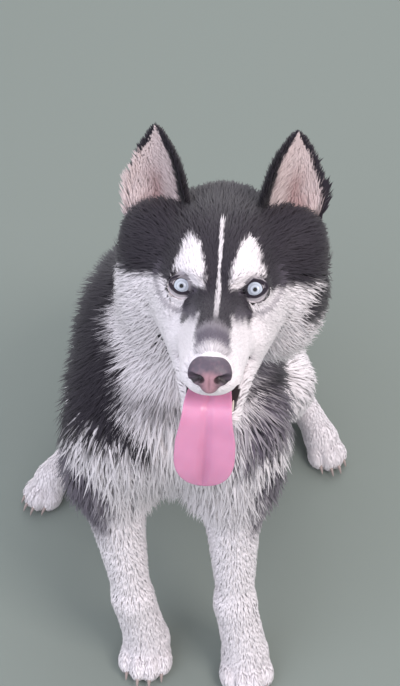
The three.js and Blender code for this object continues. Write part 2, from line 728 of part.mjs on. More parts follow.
for (const name of Object.keys(SIDES)) {
  const { knee, hock } = HIND[name];
  const skin = grown(shankFlesh(HIND[name]), COAT.leg);
  node(`shank_${name}`, MATERIAL.white, [wrap(skin, [knee, hock], { rings: 5, around: 10, caps: 2 })]);
}

// A paw: the foot's arch, four toes and their claws, in a frame turned with the foot.
function paw([x, y], turn, { width, length }, ankle) {
  const frame = frameAt([x, y, 0], turn, 0);
  const toes = [-1.5, -0.5, 0.5, 1.5].map((place) => {
    const outer = Math.abs(place) > 1;
    return [place * width * 0.21, length * (outer ? 0.14 : 0.27), outer ? 14 : 16];
  });
  const arch = inFrame(frame, egg([0, -0.12 * length, 22], [width * 0.4, length * 0.36, 22]));
  const claw = ([side, ahead]) =>
    new THREE.ConeGeometry(CLAW.radius, CLAW.length, 5)
      .rotateX(0.63 * Math.PI)
      .rotateZ(-turn * DEG)
      .translate(...frame.at([side, ahead + length * 0.22 + CLAW.length * 0.2, 9]).toArray());
  return [
    wrap(
      grown(blend(12, arch, limb(ankle, frame.at([0, -0.14 * length, 30]).toArray(), 18, 20)), COAT.paw),
      list(frame, [0, -0.32 * length, 20], [0, 0.08 * length, 18]),
      { rings: 4, around: 10, caps: 2, side: frame.side.toArray() },
    ),
    ...toes.map((toe) => ellipsoid(frame, toe, [width * 0.175, length * 0.24, toe[2] + 1.5], [6, 5])),
    ...toes.map(claw),
  ];
}
for (const [name, leg] of Object.entries(FORE))
  node(`forepaw_${name}`, MATERIAL.white, paw(leg.paw, leg.turn, PAWS.fore, leg.wrist));
for (const [name, leg] of Object.entries(HIND))
  node(`hindpaw_${name}`, MATERIAL.white, paw(leg.paw, leg.turn, PAWS.hind, leg.hock));

// The tail lies on the floor behind, with a slight curve.
node("tail", MATERIAL.black, [wrap(tailCore, TAIL, { rings: 10, around: 10, caps: 2 })], {
  locks: coat(tailCore, bodyCore, TAIL, {
    rows: 5,
    each: 5,
    flow: (p) => new THREE.Vector3(p.y < 600 ? 0 : 0.45, 0.9, 0),
    size: () => ({ length: 92, width: 46, thick: 11, lift: COAT.tail * (1 - CORE) }),
    bare: hidden(grown(trunkCore, 14)),
    seed: 13,
  }),
});

// The frame's origin is under the middle of the dog's box.
const middle = new THREE.Box3().setFromObject(dog).getCenter(new THREE.Vector3());
dog.position.set(-middle.x, -middle.y, 0);

export default dog;
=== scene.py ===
"""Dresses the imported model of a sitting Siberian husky: skin, eyes, nose, tongue, teeth, claws and coat."""

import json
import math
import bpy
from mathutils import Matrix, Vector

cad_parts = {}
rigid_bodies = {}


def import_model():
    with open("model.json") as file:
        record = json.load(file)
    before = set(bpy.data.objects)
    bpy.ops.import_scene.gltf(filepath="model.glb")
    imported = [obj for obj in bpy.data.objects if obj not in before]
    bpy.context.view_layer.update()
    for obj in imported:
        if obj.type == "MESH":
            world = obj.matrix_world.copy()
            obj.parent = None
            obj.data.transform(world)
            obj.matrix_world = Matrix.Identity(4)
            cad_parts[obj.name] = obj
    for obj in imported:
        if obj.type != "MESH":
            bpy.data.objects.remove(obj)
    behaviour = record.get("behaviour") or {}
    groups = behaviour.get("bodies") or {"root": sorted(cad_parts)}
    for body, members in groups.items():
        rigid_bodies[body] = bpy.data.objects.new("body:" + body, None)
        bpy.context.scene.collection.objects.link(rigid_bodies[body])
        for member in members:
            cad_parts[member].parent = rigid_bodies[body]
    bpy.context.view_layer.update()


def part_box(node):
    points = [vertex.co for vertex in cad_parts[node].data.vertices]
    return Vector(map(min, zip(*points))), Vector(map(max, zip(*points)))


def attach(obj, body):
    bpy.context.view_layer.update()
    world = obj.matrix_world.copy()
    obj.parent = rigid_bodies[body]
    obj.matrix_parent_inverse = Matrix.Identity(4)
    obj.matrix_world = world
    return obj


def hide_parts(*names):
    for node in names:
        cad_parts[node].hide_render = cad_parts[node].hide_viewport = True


bl_info = {
    "name": "Sitting husky",
    "version": (1, 0, 0),
    "blender": (4, 5, 0),
    "location": "3D View > Sidebar > Husky",
    "description": "Builds the skin, the face and the coat of a sitting husky round its packed solids",
    "category": "Object",
}

import bpy
import numpy as np
from bpy.props import FloatProperty, FloatVectorProperty, IntProperty, PointerProperty
from mathutils import Matrix, Vector

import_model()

# The body is worked out in millimetres in its own frame: X to the dog's left, Y from nose to tail, Z up.
CHEST_X = -28.0
RUMP_X = -18.0
EYES = (17.0, 24.0, 640.0)
HEAD_PITCH = 20.0
HEAD_YAW = -4.2
JAW_OPENING = 22.0
HINGE = (0.0, -52.0, -40.0)
TRUNK_LEAN = 36.0
NECK_BASE = (-26.0, 150.0, 450.0)
NECK_TOP = (12.0, 122.0, 560.0)
LOIN = (-24.0, 330.0, 250.0)
PELVIS = (RUMP_X, 452.0, 128.0)
SEAT = (RUMP_X, 445.0, 76.0)
FORE = {
    "left": dict(shoulder=(34, 90, 378), elbow=(37, 82, 285), wrist=(43, 34, 112), paw=(57, 8, 0), turn=6),
    "right": dict(
        shoulder=(-84, 94, 380), elbow=(-105, 88, 288), wrist=(-82, 42, 112), paw=(-68, 28, 0), turn=-4
    ),
}
HIND = {
    "left": dict(hip=(37, 450, 158), knee=(98, 334, 182), hock=(122, 496, 40), paw=(178, 366, 0), turn=22),
    "right": dict(
        hip=(-73, 450, 158), knee=(-120, 304, 188), hock=(-116, 422, 40), paw=(-213, 292, 0), turn=-37
    ),
}
TAIL = [(RUMP_X, 520, 62), (-16, 590, 34), (2, 670, 28), (42, 745, 30), (92, 790, 36)]
EYE_RADIUS = 11.5
EYE_PLACE = (35.0, -9.0, 0.0)
EYE_OUT = (0.0, 1.8, 0.8)
EAR = dict(length=88.0, width=74.0, wall=5.0, cup=20.0, side=66.0, ahead=-84.0, up=48.0)
TONGUE = dict(drop=96.0, width=54.0, thick=9.0)
PAWS = {"fore": dict(width=68.0, length=80.0), "hind": dict(width=56.0, length=72.0)}
SIDES = {"left": 1.0, "right": -1.0}

# The photograph's camera, in the same frame, and the size of its picture.
CAMERA_PLACE = (0.0, -966.0, 1560.0)
CAMERA_PITCH = 45.0
CAMERA_FOCAL_PX = 1418.0
PICTURE_HEIGHT_PX = 686.0


def unit(v):
    """A vector, or each row of an array, over its own length."""
    v = np.asarray(v, float)
    return v / np.maximum(np.linalg.norm(v, axis=-1, keepdims=True), 1e-9)


class Axes:
    """A frame turned by yaw about Z and then pitched up: side to the left, ahead forwards, up."""

    def __init__(self, origin, yaw, pitch):
        y, p = math.radians(yaw), math.radians(pitch)
        self.origin = np.array(origin, float)
        self.ahead = np.array([math.sin(y) * math.cos(p), -math.cos(y) * math.cos(p), math.sin(p)])
        self.side = np.array([math.cos(y), math.sin(y), 0.0])
        self.up = np.cross(self.ahead, self.side)
        self.up *= np.sign(self.up[2])
        self.rows = np.array([self.side, self.ahead, self.up])

    def at(self, point):
        """From this frame's side, ahead and up to the body's X, Y and Z."""
        return self.origin + np.asarray(point, float) @ self.rows

    def into(self, points):
        """From the body's X, Y and Z to this frame's side, ahead and up."""
        return (points - self.origin) @ self.rows.T


HEAD = Axes(EYES, HEAD_YAW, HEAD_PITCH)
JAW = Axes((0, 0, 0), HEAD_YAW, HEAD_PITCH - JAW_OPENING)
JAW.origin = HEAD.at(HINGE) - JAW.at(HINGE)


def eye_place(s):
    """The middle of an eye in the head's frame: s is 1 for the left one and -1 for the right one."""
    return (EYE_PLACE[0] * s, EYE_PLACE[1], EYE_PLACE[2])


def ball_place(s):
    """The middle of an eyeball as it is dressed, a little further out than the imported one."""
    return np.array(eye_place(s)) + EYE_OUT


def packed_shift():
    """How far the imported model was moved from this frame, read from where its left eye is."""
    low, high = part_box("eye_left")
    return np.array((low + high) / 2) * 1000 - HEAD.at(eye_place(1))


SHIFT = packed_shift()


# Fields: each is about how far a point is outside a shape, and is negative inside it.
def egg(centre, radii, lean=0.0):
    """An ellipsoid, leant about X."""
    c, s = math.cos(math.radians(lean)), math.sin(math.radians(lean))
    turn = np.array([[1, 0, 0], [0, c, -s], [0, s, c]])
    radii = np.array(radii, float)

    def field(p):
        q = ((p - np.array(centre, float)) @ turn.T) / radii
        far = np.linalg.norm(q, axis=1)
        slope = np.linalg.norm(q / radii, axis=1)
        return np.where(slope < 1e-9, -radii.min(), far * (far - 1) / np.maximum(slope, 1e-9))

    return field


def limb(a, b, ra, rb):
    """A round bar from a to b whose radius goes from ra to rb."""
    a, b = np.array(a, float), np.array(b, float)
    way = b - a

    def field(p):
        t = np.clip((p - a) @ way / (way @ way), 0, 1)
        return np.linalg.norm(p - a - t[:, None] * way, axis=1) - ra - (rb - ra) * t

    return field


def blend(k, *fields):
    """The fields joined, with a fillet about k wide."""

    def field(p):
        out = fields[0](p)
        for other in fields[1:]:
            b = other(p)
            h = np.maximum(k - np.abs(out - b), 0) / k
            out = np.minimum(out, b) - h * h * k / 4
        return out

    return field


def carve(k, body, cutter):
    """The body without the cutter, with its edge rounded by about k."""

    def field(p):
        a, b = body(p), -cutter(p)
        h = np.maximum(k - np.abs(a - b), 0) / k
        return np.maximum(a, b) + h * h * k / 4

    return field


def grown(field, by):
    """The field's shape made larger on every side."""
    return lambda p: field(p) - by


def in_frame(axes, field):
    """A field that is given in a turned frame."""
    return lambda p: field(axes.into(p))


def both(make):
    """What make gives for the left side and the right side."""
    return [make(s) for s in SIDES.values()]


head_flesh = in_frame(
    HEAD,
    carve(
        8,
        blend(
            16,
            egg((0, -62, 12), (53, 64, 48)),
            *both(lambda s: egg((19 * s, -13, 13), (19, 24, 17))),
            *both(lambda s: egg((37 * s, -44, -20), (26, 44, 33))),
            limb((0, 0, -22), (0, 84, -39), 27, 19),
            limb((0, 10, -9), (0, 94, -25), 12, 9),
            *both(lambda s: limb((22 * s, 2, -44), (12 * s, 84, -50), 14, 11)),
            *both(lambda s: limb((36 * s, -40, -40), (30 * s, -6, -54), 20, 15)),
            egg((0, 84, -44), (19, 16, 18)),
        ),
        egg((0, 34, -80), (16, 66, 20)),
    ),
)
lids = [
    in_frame(HEAD, egg(ball_place(s), (EYE_RADIUS + 2.2, EYE_RADIUS + 1.8, EYE_RADIUS + 1.6)))
    for s in SIDES.values()
]
GAZE = (0.06, 1.0, 0.40)


def pocket(s):
    """The room for an eyeball, open ahead along its gaze."""
    eye = ball_place(s)
    return in_frame(HEAD, limb(eye, eye + 24 * unit((GAZE[0] * s, *GAZE[1:])), EYE_RADIUS + 0.8, EYE_RADIUS + 1.5))


pockets = both(pocket)
ruffs = both(lambda s: in_frame(HEAD, egg((50 * s, -90, -34), (42, 34, 74), 22)))
ear_bases = both(lambda s: in_frame(HEAD, egg((60 * s, -86, 22), (35, 26, 30))))
nape = in_frame(HEAD, egg((0, -106, 20), (50, 34, 42)))
LID_AXIS = (0.0, 1.0, 0.46)
SOCKET = dict(out=18.0, radii=(18.0, 12.0, 13.0), lean=-24.7)


def socket(s):
    """The bowl of the face that an eye lies in."""
    return in_frame(HEAD, egg(ball_place(s) + SOCKET["out"] * unit(LID_AXIS), SOCKET["radii"], SOCKET["lean"]))


skull = blend(20, head_flesh, nape, *ruffs, *ear_bases)
face = blend(4, carve(9, carve(9, skull, socket(1)), socket(-1)), *lids)
jaw_flesh = in_frame(
    JAW,
    blend(
        10,
        *both(lambda s: limb((31 * s, -28, -54), (14 * s, 62, -63), 15, 9)),
        egg((0, 66, -64), (22, 13, 10)),
        limb((0, -18, -62), (0, 58, -66), 16, 7),
    ),
)
neck_flesh = limb(NECK_BASE, NECK_TOP, 76, 54)


def shoulder_flesh(name):
    """The shoulder blade and the upper arm."""
    leg = FORE[name]
    blade = (CHEST_X + 44 * SIDES[name], 165, 478)
    arm = np.array(leg["shoulder"]) * 0.4 + np.array(leg["elbow"]) * 0.6
    return [limb(blade, leg["shoulder"], 30, 34), limb(leg["shoulder"], arm, 34, 34)]


chest_flesh = blend(
    40,
    egg((CHEST_X, 200, 365), (80, 165, 122), TRUNK_LEAN),
    egg((CHEST_X, 222, 448), (46, 80, 48), TRUNK_LEAN),
    *shoulder_flesh("left"),
    *shoulder_flesh("right"),
)
rump_flesh = blend(
    40, limb(LOIN, PELVIS, 98, 90), egg(PELVIS, (84, 92, 106), 20), egg(SEAT, (74, 88, 70))
)
trunk_flesh = blend(50, chest_flesh, rump_flesh)


def fore_flesh(leg):
    """A foreleg from the shoulder to just over its paw."""
    x, y = leg["paw"][:2]
    return blend(
        14,
        limb(leg["shoulder"], leg["elbow"], 30, 32),
        limb(leg["elbow"], leg["wrist"], 32, 17),
        limb(leg["wrist"], (x, y + 8, 38), 17, 20),
    )


def thigh_flesh(leg):
    """A thigh from the hip to the knee."""
    return limb(leg["hip"], leg["knee"], 84, 42)


def shank_flesh(leg):
    """A lower hind leg from the knee to the hock."""
    return limb(leg["knee"], leg["hock"], 38, 22)


TOES = (-1.5, -0.5, 0.5, 1.5)


def toe_place(place, size):
    """The middle of a toe in the paw's frame. The two middle toes reach further."""
    outer = abs(place) > 1
    return (place * size["width"] * 0.21, size["length"] * (0.14 if outer else 0.27), 12 if outer else 14)


def paw_axes(leg):
    """The frame of a foot on the floor."""
    return Axes(leg["paw"], leg["turn"], 0)


def paw_flesh(leg, size, ankle):
    """A foot: its arch, the pastern up to the ankle and four toes."""
    axes = paw_axes(leg)
    width, length = size["width"], size["length"]
    pastern = limb(ankle, axes.at((0, -0.14 * length, 30)), 17, 19)
    arch = in_frame(axes, egg((0, -0.12 * length, 20), (width * 0.37, length * 0.34, 20)))
    toes = [
        in_frame(axes, egg(toe_place(place, size), (width * 0.15, length * 0.22, toe_place(place, size)[2])))
        for place in TOES
    ]
    return blend(5, blend(12, pastern, arch), *toes)


tail_flesh = blend(
    16, *[limb(TAIL[i], TAIL[i + 1], 22 - 3 * i, 19 - 3 * i) for i in range(len(TAIL) - 1)]
)

# Every part of the body with its flesh, and the spine that its unwrap turns round.
PARTS = {
    "head": (face, [HEAD.at((0, -84, 2)), HEAD.at((0, -30, -6)), HEAD.at((0, 20, -26)), HEAD.at((0, 86, -38))]),
    "jaw": (jaw_flesh, [JAW.at((0, -24, -58)), JAW.at((0, 62, -63))]),
    "neck": (neck_flesh, [NECK_TOP, NECK_BASE]),
    "trunk": (trunk_flesh, [(CHEST_X, 120, 420), (CHEST_X, 215, 355), LOIN, (-20, 400, 180), PELVIS]),
    "tail": (tail_flesh, TAIL),
}
for name in SIDES:
    fore, hind = FORE[name], HIND[name]
    PARTS[f"thigh_{name}"] = (thigh_flesh(hind), [hind["hip"], hind["knee"]])
    PARTS[f"shank_{name}"] = (shank_flesh(hind), [hind["knee"], hind["hock"]])
    PARTS[f"foreleg_{name}"] = (fore_flesh(fore), [fore["shoulder"], fore["elbow"], fore["wrist"]])
    for kind, leg, ankle in (("fore", fore, fore["wrist"]), ("hind", hind, hind["hock"])):
        ends = [paw_axes(leg).at((0, y * PAWS[kind]["length"], 16)) for y in (-0.3, 0.1)]
        PARTS[f"{kind}paw_{name}"] = (paw_flesh(leg, PAWS[kind], ankle), ends)
PART_NAMES = list(PARTS)


def part_distances(p):
    """How far each point is outside each part, as one column a part."""
    return np.stack([field(p) for field, _ in PARTS.values()], axis=1)


JOIN = 18.0
FLOOR_SKIN = 1.0


def joined_field(distances):
    """The parts joined into one body, with a fillet of JOIN, from their columns."""
    out = distances[:, 0]
    for column in distances.T[1:]:
        h = np.maximum(JOIN - np.abs(out - column), 0) / JOIN
        out = np.minimum(out, column) - h * h * JOIN / 4
    return out


def body(p):
    """The whole body's flesh, with pockets for the eyes, flat where it meets the floor."""
    out = joined_field(part_distances(p))
    for pocket in pockets:
        out = np.maximum(out, -pocket(p))
    return np.maximum(out, FLOOR_SKIN - p[:, 2])


def slope(field, p, step=0.6):
    """A field's value at each point and its gradient."""
    value = field(p)
    rise = [(field(p + np.eye(3)[i] * step) - value) / step for i in range(3)]
    return value, np.stack(rise, axis=1)


def settle(field, p, level=0.0, rounds=3):
    """Moves points along the gradient until the field has the wanted level there."""
    for _ in range(rounds):
        value, rise = slope(field, p)
        reach = np.clip((level - value) / np.maximum((rise**2).sum(1), 0.05), -12, 12)
        p = p + rise * reach[:, None]
    return p, unit(rise)


def shoot(field, start, ray, reach=400.0):
    """Where rays from inside a field leave it: steps of the field's own size, then halving."""
    near, far = np.zeros(len(start)), np.zeros(len(start))
    value = field(start)
    for _ in range(90):
        going = np.flatnonzero((value < 0) & (far < reach))
        if not len(going):
            break
        near[going] = far[going]
        far[going] += np.maximum(-value[going] * 0.7, 0.6)
        value[going] = field(start[going] + ray[going] * far[going, None])
    for _ in range(12):
        middle = (near + far) / 2
        inside = field(start + ray * middle[:, None]) < 0
        near, far = np.where(inside, middle, near), np.where(inside, far, middle)
    return start + ray * far[:, None]


def curve(points, t):
    """A smooth curve through points and its direction, at shares t of its length (Catmull-Rom)."""
    points = np.array(points, float)
    ends = np.vstack([2 * points[0] - points[1], points, 2 * points[-1] - points[-2]])
    share = np.linspace(0, len(points) - 1, 40 * len(points))
    k = np.minimum(share.astype(int), len(points) - 2)
    u = (share - k)[:, None]
    a, b, c, d = ends[k], ends[k + 1], ends[k + 2], ends[k + 3]
    way = 0.5 * (2 * b + (c - a) * u + (2 * a - 5 * b + 4 * c - d) * u**2 + (3 * b - a - 3 * c + d) * u**3)
    run = np.concatenate([[0], np.cumsum(np.linalg.norm(np.diff(way, axis=0), axis=1))])
    run /= run[-1]
    place = np.stack([np.interp(t, run, way[:, i]) for i in range(3)], axis=1)
    slopes = np.gradient(way, run, axis=0)
    return place, unit(np.stack([np.interp(t, run, slopes[:, i]) for i in range(3)], axis=1))


def wrap(field, spine, rings, around, caps, side=(1, 0, 0)):
    """A closed skin on a field: rings of rays leave a spine square to it and fan out over both ends."""
    tilt_step = math.pi / 2 / (caps + 1)
    at = np.concatenate([np.zeros(caps), np.linspace(0, 1, rings), np.ones(caps)])
    tilt = np.concatenate([-np.arange(caps, 0, -1), np.zeros(rings), np.arange(1, caps + 1)]) * tilt_step
    start, along = curve(spine, at)
    across = unit(np.array(side) - along * (along @ np.array(side))[:, None])
    over = np.cross(along, across)
    angle = np.arange(around) / around * 2 * math.pi
    ray = across[:, None] * np.cos(angle)[None, :, None] + over[:, None] * np.sin(angle)[None, :, None]
    ray = ray * np.cos(tilt)[:, None, None] + (along * np.sin(tilt)[:, None])[:, None]
    from_ = np.repeat(start[:, None], around, axis=1)
    ends, directions = curve(spine, np.array([0.0, 1.0]))
    poles = shoot(field, ends, directions * np.array([[-1], [1]]))
    places = shoot(field, from_.reshape(-1, 3), ray.reshape(-1, 3))
    return closed(places, around, poles[0], poles[1])


def closed(places, around, start, end):
    """Rings of points closed into one surface by a point at each end, with its faces outwards."""
    rows = len(places) // around
    i, j = np.meshgrid(np.arange(rows - 1), np.arange(around), indexing="ij")
    k = (j + 1) % around
    quads = np.stack([i * around + j, i * around + k, (i + 1) * around + k, (i + 1) * around + j], axis=-1)
    j, k = np.arange(around), (np.arange(around) + 1) % around
    first, last, base = len(places), len(places) + 1, (rows - 1) * around
    cap = np.stack([np.full(around, first), k, j], axis=1)
    tip = np.stack([np.full(around, last), base + j, base + k], axis=1)
    return np.vstack([places, start, end]), [*quads.reshape(-1, 4).tolist(), *cap.tolist(), *tip.tolist()]


def linear(value):
    """An sRGB colour, written as 0xRRGGBB, as linear red, green and blue."""
    parts = np.array([value >> 16 & 255, value >> 8 & 255, value & 255]) / 255
    return tuple(np.where(parts <= 0.04045, parts / 12.92, ((parts + 0.055) / 1.055) ** 2.4).tolist())


def in_metres(points):
    """From the body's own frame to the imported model's frame."""
    return (np.asarray(points, float) + SHIFT) * 0.001


def add_piece(name, points, faces, material, slot, replaced=()):
    """A piece from points in the body's frame and faces. It rides on the one body of the model."""
    mesh = bpy.data.meshes.new(name)
    mesh.from_pydata(in_metres(points).tolist(), [], faces)
    return finish_piece(name, mesh, material, slot, replaced)


def finish_piece(name, mesh, material, slot, replaced=()):
    """Shows a mesh as a smooth piece with its material."""
    mesh.materials.append(material)
    mesh.polygons.foreach_set("use_smooth", np.ones(len(mesh.polygons), bool))
    mesh.update()
    piece = bpy.data.objects.new(name, mesh)
    bpy.context.scene.collection.objects.link(piece)
    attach(piece, "root")
    if replaced:
        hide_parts(*replaced)
    return piece


def shader(material, kind, inputs=None, **settings):
    """Adds one shader node. Settings are its own, and inputs are values or the sockets that they come from."""
    made = material.node_tree.nodes.new(kind)
    for key, value in settings.items():
        setattr(made, key, value)
    for key, value in (inputs or {}).items():
        if isinstance(value, bpy.types.NodeSocket):
            material.node_tree.links.new(value, made.inputs[key])
        else:
            made.inputs[key].default_value = value
    return made


def finish(name, surface):
    """A new material with a Principled surface whose sockets are set from surface(material)."""
    material = bpy.data.materials.new(name)
    material.use_nodes = True
    material.node_tree.nodes.clear()
    principled = shader(material, "ShaderNodeBsdfPrincipled", surface(material))
    shader(material, "ShaderNodeOutputMaterial", {"Surface": principled.outputs["BSDF"]})
    return material


PAINT = "paint"
FINE_HAIR_MM = 1.6


def painted(material):
    """The colour that a piece carries on its corners."""
    return shader(material, "ShaderNodeAttribute", attribute_name=PAINT).outputs["Color"]


def grain(material, size_mm, depth_mm, detail=2.0):
    """A bump of noise whose grain is size_mm across and depth_mm deep, in the piece's own metres."""
    place = shader(material, "ShaderNodeTexCoord").outputs["Object"]
    noise = shader(material, "ShaderNodeTexNoise", {"Vector": place, "Scale": 1000 / size_mm, "Detail": detail})
    bump = shader(
        material, "ShaderNodeBump", {"Height": noise.outputs["Fac"], "Strength": 1.0, "Distance": depth_mm / 1000}
    )
    return bump.outputs["Normal"]


def hide_under_coat(material):
    """Skin under short fur: matt, with the coat's colours and the grain of fine hair."""
    return {
        "Base Color": painted(material),
        "Roughness": 0.8,
        "Specular IOR Level": 0.2,
        "Normal": grain(material, FINE_HAIR_MM, 0.35),
    }


def guard_hair(material):
    """Straight outer hair: soft, with a faint sheen along it."""
    return {
        "Base Color": painted(material),
        "Roughness": 0.62,
        "Specular IOR Level": 0.3,
        "Sheen Weight": 0.15,
        "Sheen Roughness": 0.5,
    }


def wet_eye(material):
    """A wet eyeball: glossy, with the pale ringed iris painted on it."""
    return {
        "Base Color": painted(material),
        "Roughness": 0.12,
        "IOR": 1.38,
        "Coat Weight": 0.35,
        "Coat Roughness": 0.03,
    }


def nose_leather(material):
    """Moist nose leather: pebbled in cells about a millimetre across, half glossy."""
    place = shader(material, "ShaderNodeTexCoord").outputs["Object"]
    cells = shader(material, "ShaderNodeTexVoronoi", {"Vector": place, "Scale": 1000 / 1.3})
    bump = shader(
        material, "ShaderNodeBump", {"Height": cells.outputs["Distance"], "Strength": 0.6, "Distance": 0.0003}
    )
    return {
        "Base Color": painted(material),
        "Roughness": 0.42,
        "Specular IOR Level": 0.5,
        "Normal": bump.outputs["Normal"],
    }


def tongue_flesh(material):
    """A wet tongue: pink, soft, with light scattered in it and fine papillae."""
    return {
        "Base Color": painted(material),
        "Roughness": 0.24,
        "Subsurface Weight": 0.25,
        "Subsurface Radius": (0.006, 0.002, 0.002),
        "Normal": grain(material, 0.9, 0.12),
    }


def tooth_enamel(material):
    """Tooth enamel: ivory and glossy."""
    return {"Base Color": (*linear(0xEFE6D8), 1), "Roughness": 0.2, "IOR": 1.62}


def claw_horn(material):
    """Worn claw horn: pale grey brown, smooth."""
    return {"Base Color": (*linear(0xA08F8C), 1), "Roughness": 0.4, "IOR": 1.55}


def webbing(material):
    """Woven nylon webbing: dark, matt, with its weave as a fine bump."""
    return {"Base Color": (*linear(0x26242A), 1), "Roughness": 0.75, "Normal": grain(material, 1.2, 0.2)}


def steel(material):
    """Polished steel wire."""
    return {"Base Color": (*linear(0xC9CACC), 1), "Roughness": 0.22, "Metallic": 1.0}


def floor_paint(material):
    """A plain pale studio floor."""
    return {"Base Color": (*linear(0x7F8682), 1), "Roughness": 0.9, "Specular IOR Level": 0.1}


def smooth(x, low, high):
    """Nought below low, one above high, and a soft step between them."""
    t = np.clip((x - low) / (high - low), 0, 1)
    return t * t * (3 - 2 * t)


def remeshed(name, voxel_mm):
    """Replaces a mesh of closed surfaces by one even skin of small squares, and gives its points and faces."""
    piece = bpy.data.objects[name]
    modifier = piece.modifiers.new("one skin", "REMESH")
    modifier.mode = "VOXEL"
    modifier.voxel_size = voxel_mm / 1000
    made = bpy.data.meshes.new_from_object(piece.evaluated_get(bpy.context.evaluated_depsgraph_get()))
    points = np.empty(len(made.vertices) * 3, np.float32)
    made.vertices.foreach_get("co", points)
    faces = [tuple(face.vertices) for face in made.polygons]
    bpy.data.meshes.remove(made)
    return points.reshape(-1, 3).astype(float) * 1000 - SHIFT, faces


def triangles_of(faces):
    """Faces of three or four corners as triangles."""
    quads = np.array([f for f in faces if len(f) == 4], np.int64).reshape(-1, 4)
    threes = np.array([f for f in faces if len(f) == 3], np.int64).reshape(-1, 3)
    return np.vstack([threes, quads[:, [0, 1, 2]], quads[:, [0, 2, 3]]])


def put_paint(mesh, colours):
    """Stores one colour a point."""
    attribute = mesh.attributes.new(PAINT, "FLOAT_COLOR", "POINT")
    full = np.ones((len(colours), 4), np.float32)
    full[:, :3] = colours
    attribute.data.foreach_set("color", full.ravel())


SKIN = {}
BODY_NODES = ["head", "jaw", "neck", "chest", "rump", "tail"]
LIMB_NODES = [
    f"{part}_{name}" for part in ("thigh", "shank", "foreleg", "forepaw", "hindpaw", "ear") for name in SIDES
]


def raw_skin():
    """Wraps every part's flesh, joined in one mesh that still crosses itself."""
    points, faces, base = [], [], 0
    for name, (field, spine) in PARTS.items():
        rings, around, caps = (60, 72, 14) if name in ("head", "trunk") else (30, 40, 8)
        side = HEAD.side if name in ("head", "jaw") else (1, 0, 0)
        p, f = wrap(field, spine, rings, around, caps, side)
        points.append(p)
        faces += [tuple(k + base for k in face) for face in f]
        base += len(p)
    return np.vstack(points), faces


def ear_shell(s, rows=26, columns=25):
    """An ear: an arc that is cupped ahead and a little outwards, drawn in from its base to a rounded tip.

    The rows go up the ear and the columns round the arc, first outside and then back inside it."""
    size = EAR
    base = HEAD.at((size["side"] * s, size["ahead"], size["up"]))
    rise = unit(HEAD.up + 0.02 * s * HEAD.side + 0.06 * HEAD.ahead)
    gape = HEAD.ahead + 0.5 * s * HEAD.side
    gape = unit(gape - rise * (gape @ rise))
    level = -s * np.cross(rise, gape)
    h = np.concatenate([[-0.3, -0.15], 1 - (1 - np.linspace(0, 0.985, rows - 2)) ** 1.25])[:, None]
    root, free = np.maximum(0, -h), np.minimum(1, 1 - h)
    half = size["width"] / 2 * (1 - 1.6 * root) * free**0.6
    cup = size["cup"] * (1 - 2.4 * root) * free**0.8
    wall = size["wall"] * (0.5 + 0.5 * free)
    arc = np.radians(np.linspace(-90, 90, columns))[None, :]
    outside = half * np.sin(arc), -cup * np.cos(arc)
    back = arc[:, ::-1][:, 1:-1]
    inside = (half - wall * 0.5) * np.sin(back), (wall - cup) * np.cos(back)
    across = np.concatenate([outside[0], inside[0]], axis=1)
    deep = np.concatenate([outside[1], inside[1]], axis=1)
    centre = base + rise * (size["length"] * h) - level * 50 * root
    lift = -0.36 * across * free**2
    places = centre[:, None] + level * across[..., None] + gape * deep[..., None] + rise * lift[..., None]
    around = places.shape[1]
    tip = base + rise * size["length"]
    points, faces = closed(places.reshape(-1, 3), around, places[0].mean(0), tip)
    if s < 0:
        faces = [face[::-1] for face in faces]
    inner = np.tile(np.arange(around) >= columns, len(h))
    height = np.repeat(h[:, 0], around)
    edge = np.abs(np.concatenate([np.sin(arc[0]), np.sin(back[0])]))
    return dict(
        points=points,
        faces=faces,
        inner=np.append(inner, [False, False]),
        height=np.append(height, [-0.3, 1.0]),
        edge=np.append(np.tile(edge, len(h)), [0.0, 1.0]),
        outward=np.append((across * np.sign(level @ HEAD.side) * s).ravel(), [0.0, 0.0]),
        side="left" if s > 0 else "right",
        round=np.append(np.tile(np.arange(around) / around, len(h)), [0.5, 0.5]),
        rise=rise,
        level=level,
        gape=gape,
    )


# How far the black of the outer rim is drawn in on each ear.
EAR_BARE = {"left": 0.04, "right": 0.14}


def ear_colours(ear, pick=slice(None)):
    """Black behind, along the inner rim and at the tip, pale in the cup and flushed deep in its fold."""
    colours = bpy.context.scene.husky_colours
    inner, height, edge, outward = (ear[key][pick] for key in ("inner", "height", "edge", "outward"))
    bare = EAR_BARE[ear["side"]] * (outward > 0) * (1 - smooth(height, 0.55, 0.8))
    reach = edge + 0.4 * smooth(height, 0.6, 1.0) - bare
    rim = smooth(reach, 0.84, 0.94)
    pale = (inner * (1 - rim) * smooth(height, -0.4, -0.2))[:, None]
    deep = (smooth(-height, -0.62, -0.1) * np.exp(-(((outward - 3) / 13) ** 2)))[:, None]
    cup = np.array(colours.ear_cup) * (1 - 0.75 * deep) + np.array(colours.ear_flush) * 0.75 * deep
    return np.array(colours.black) * (1 - pale) + cup * pale


EAR_TUFTS = 9000


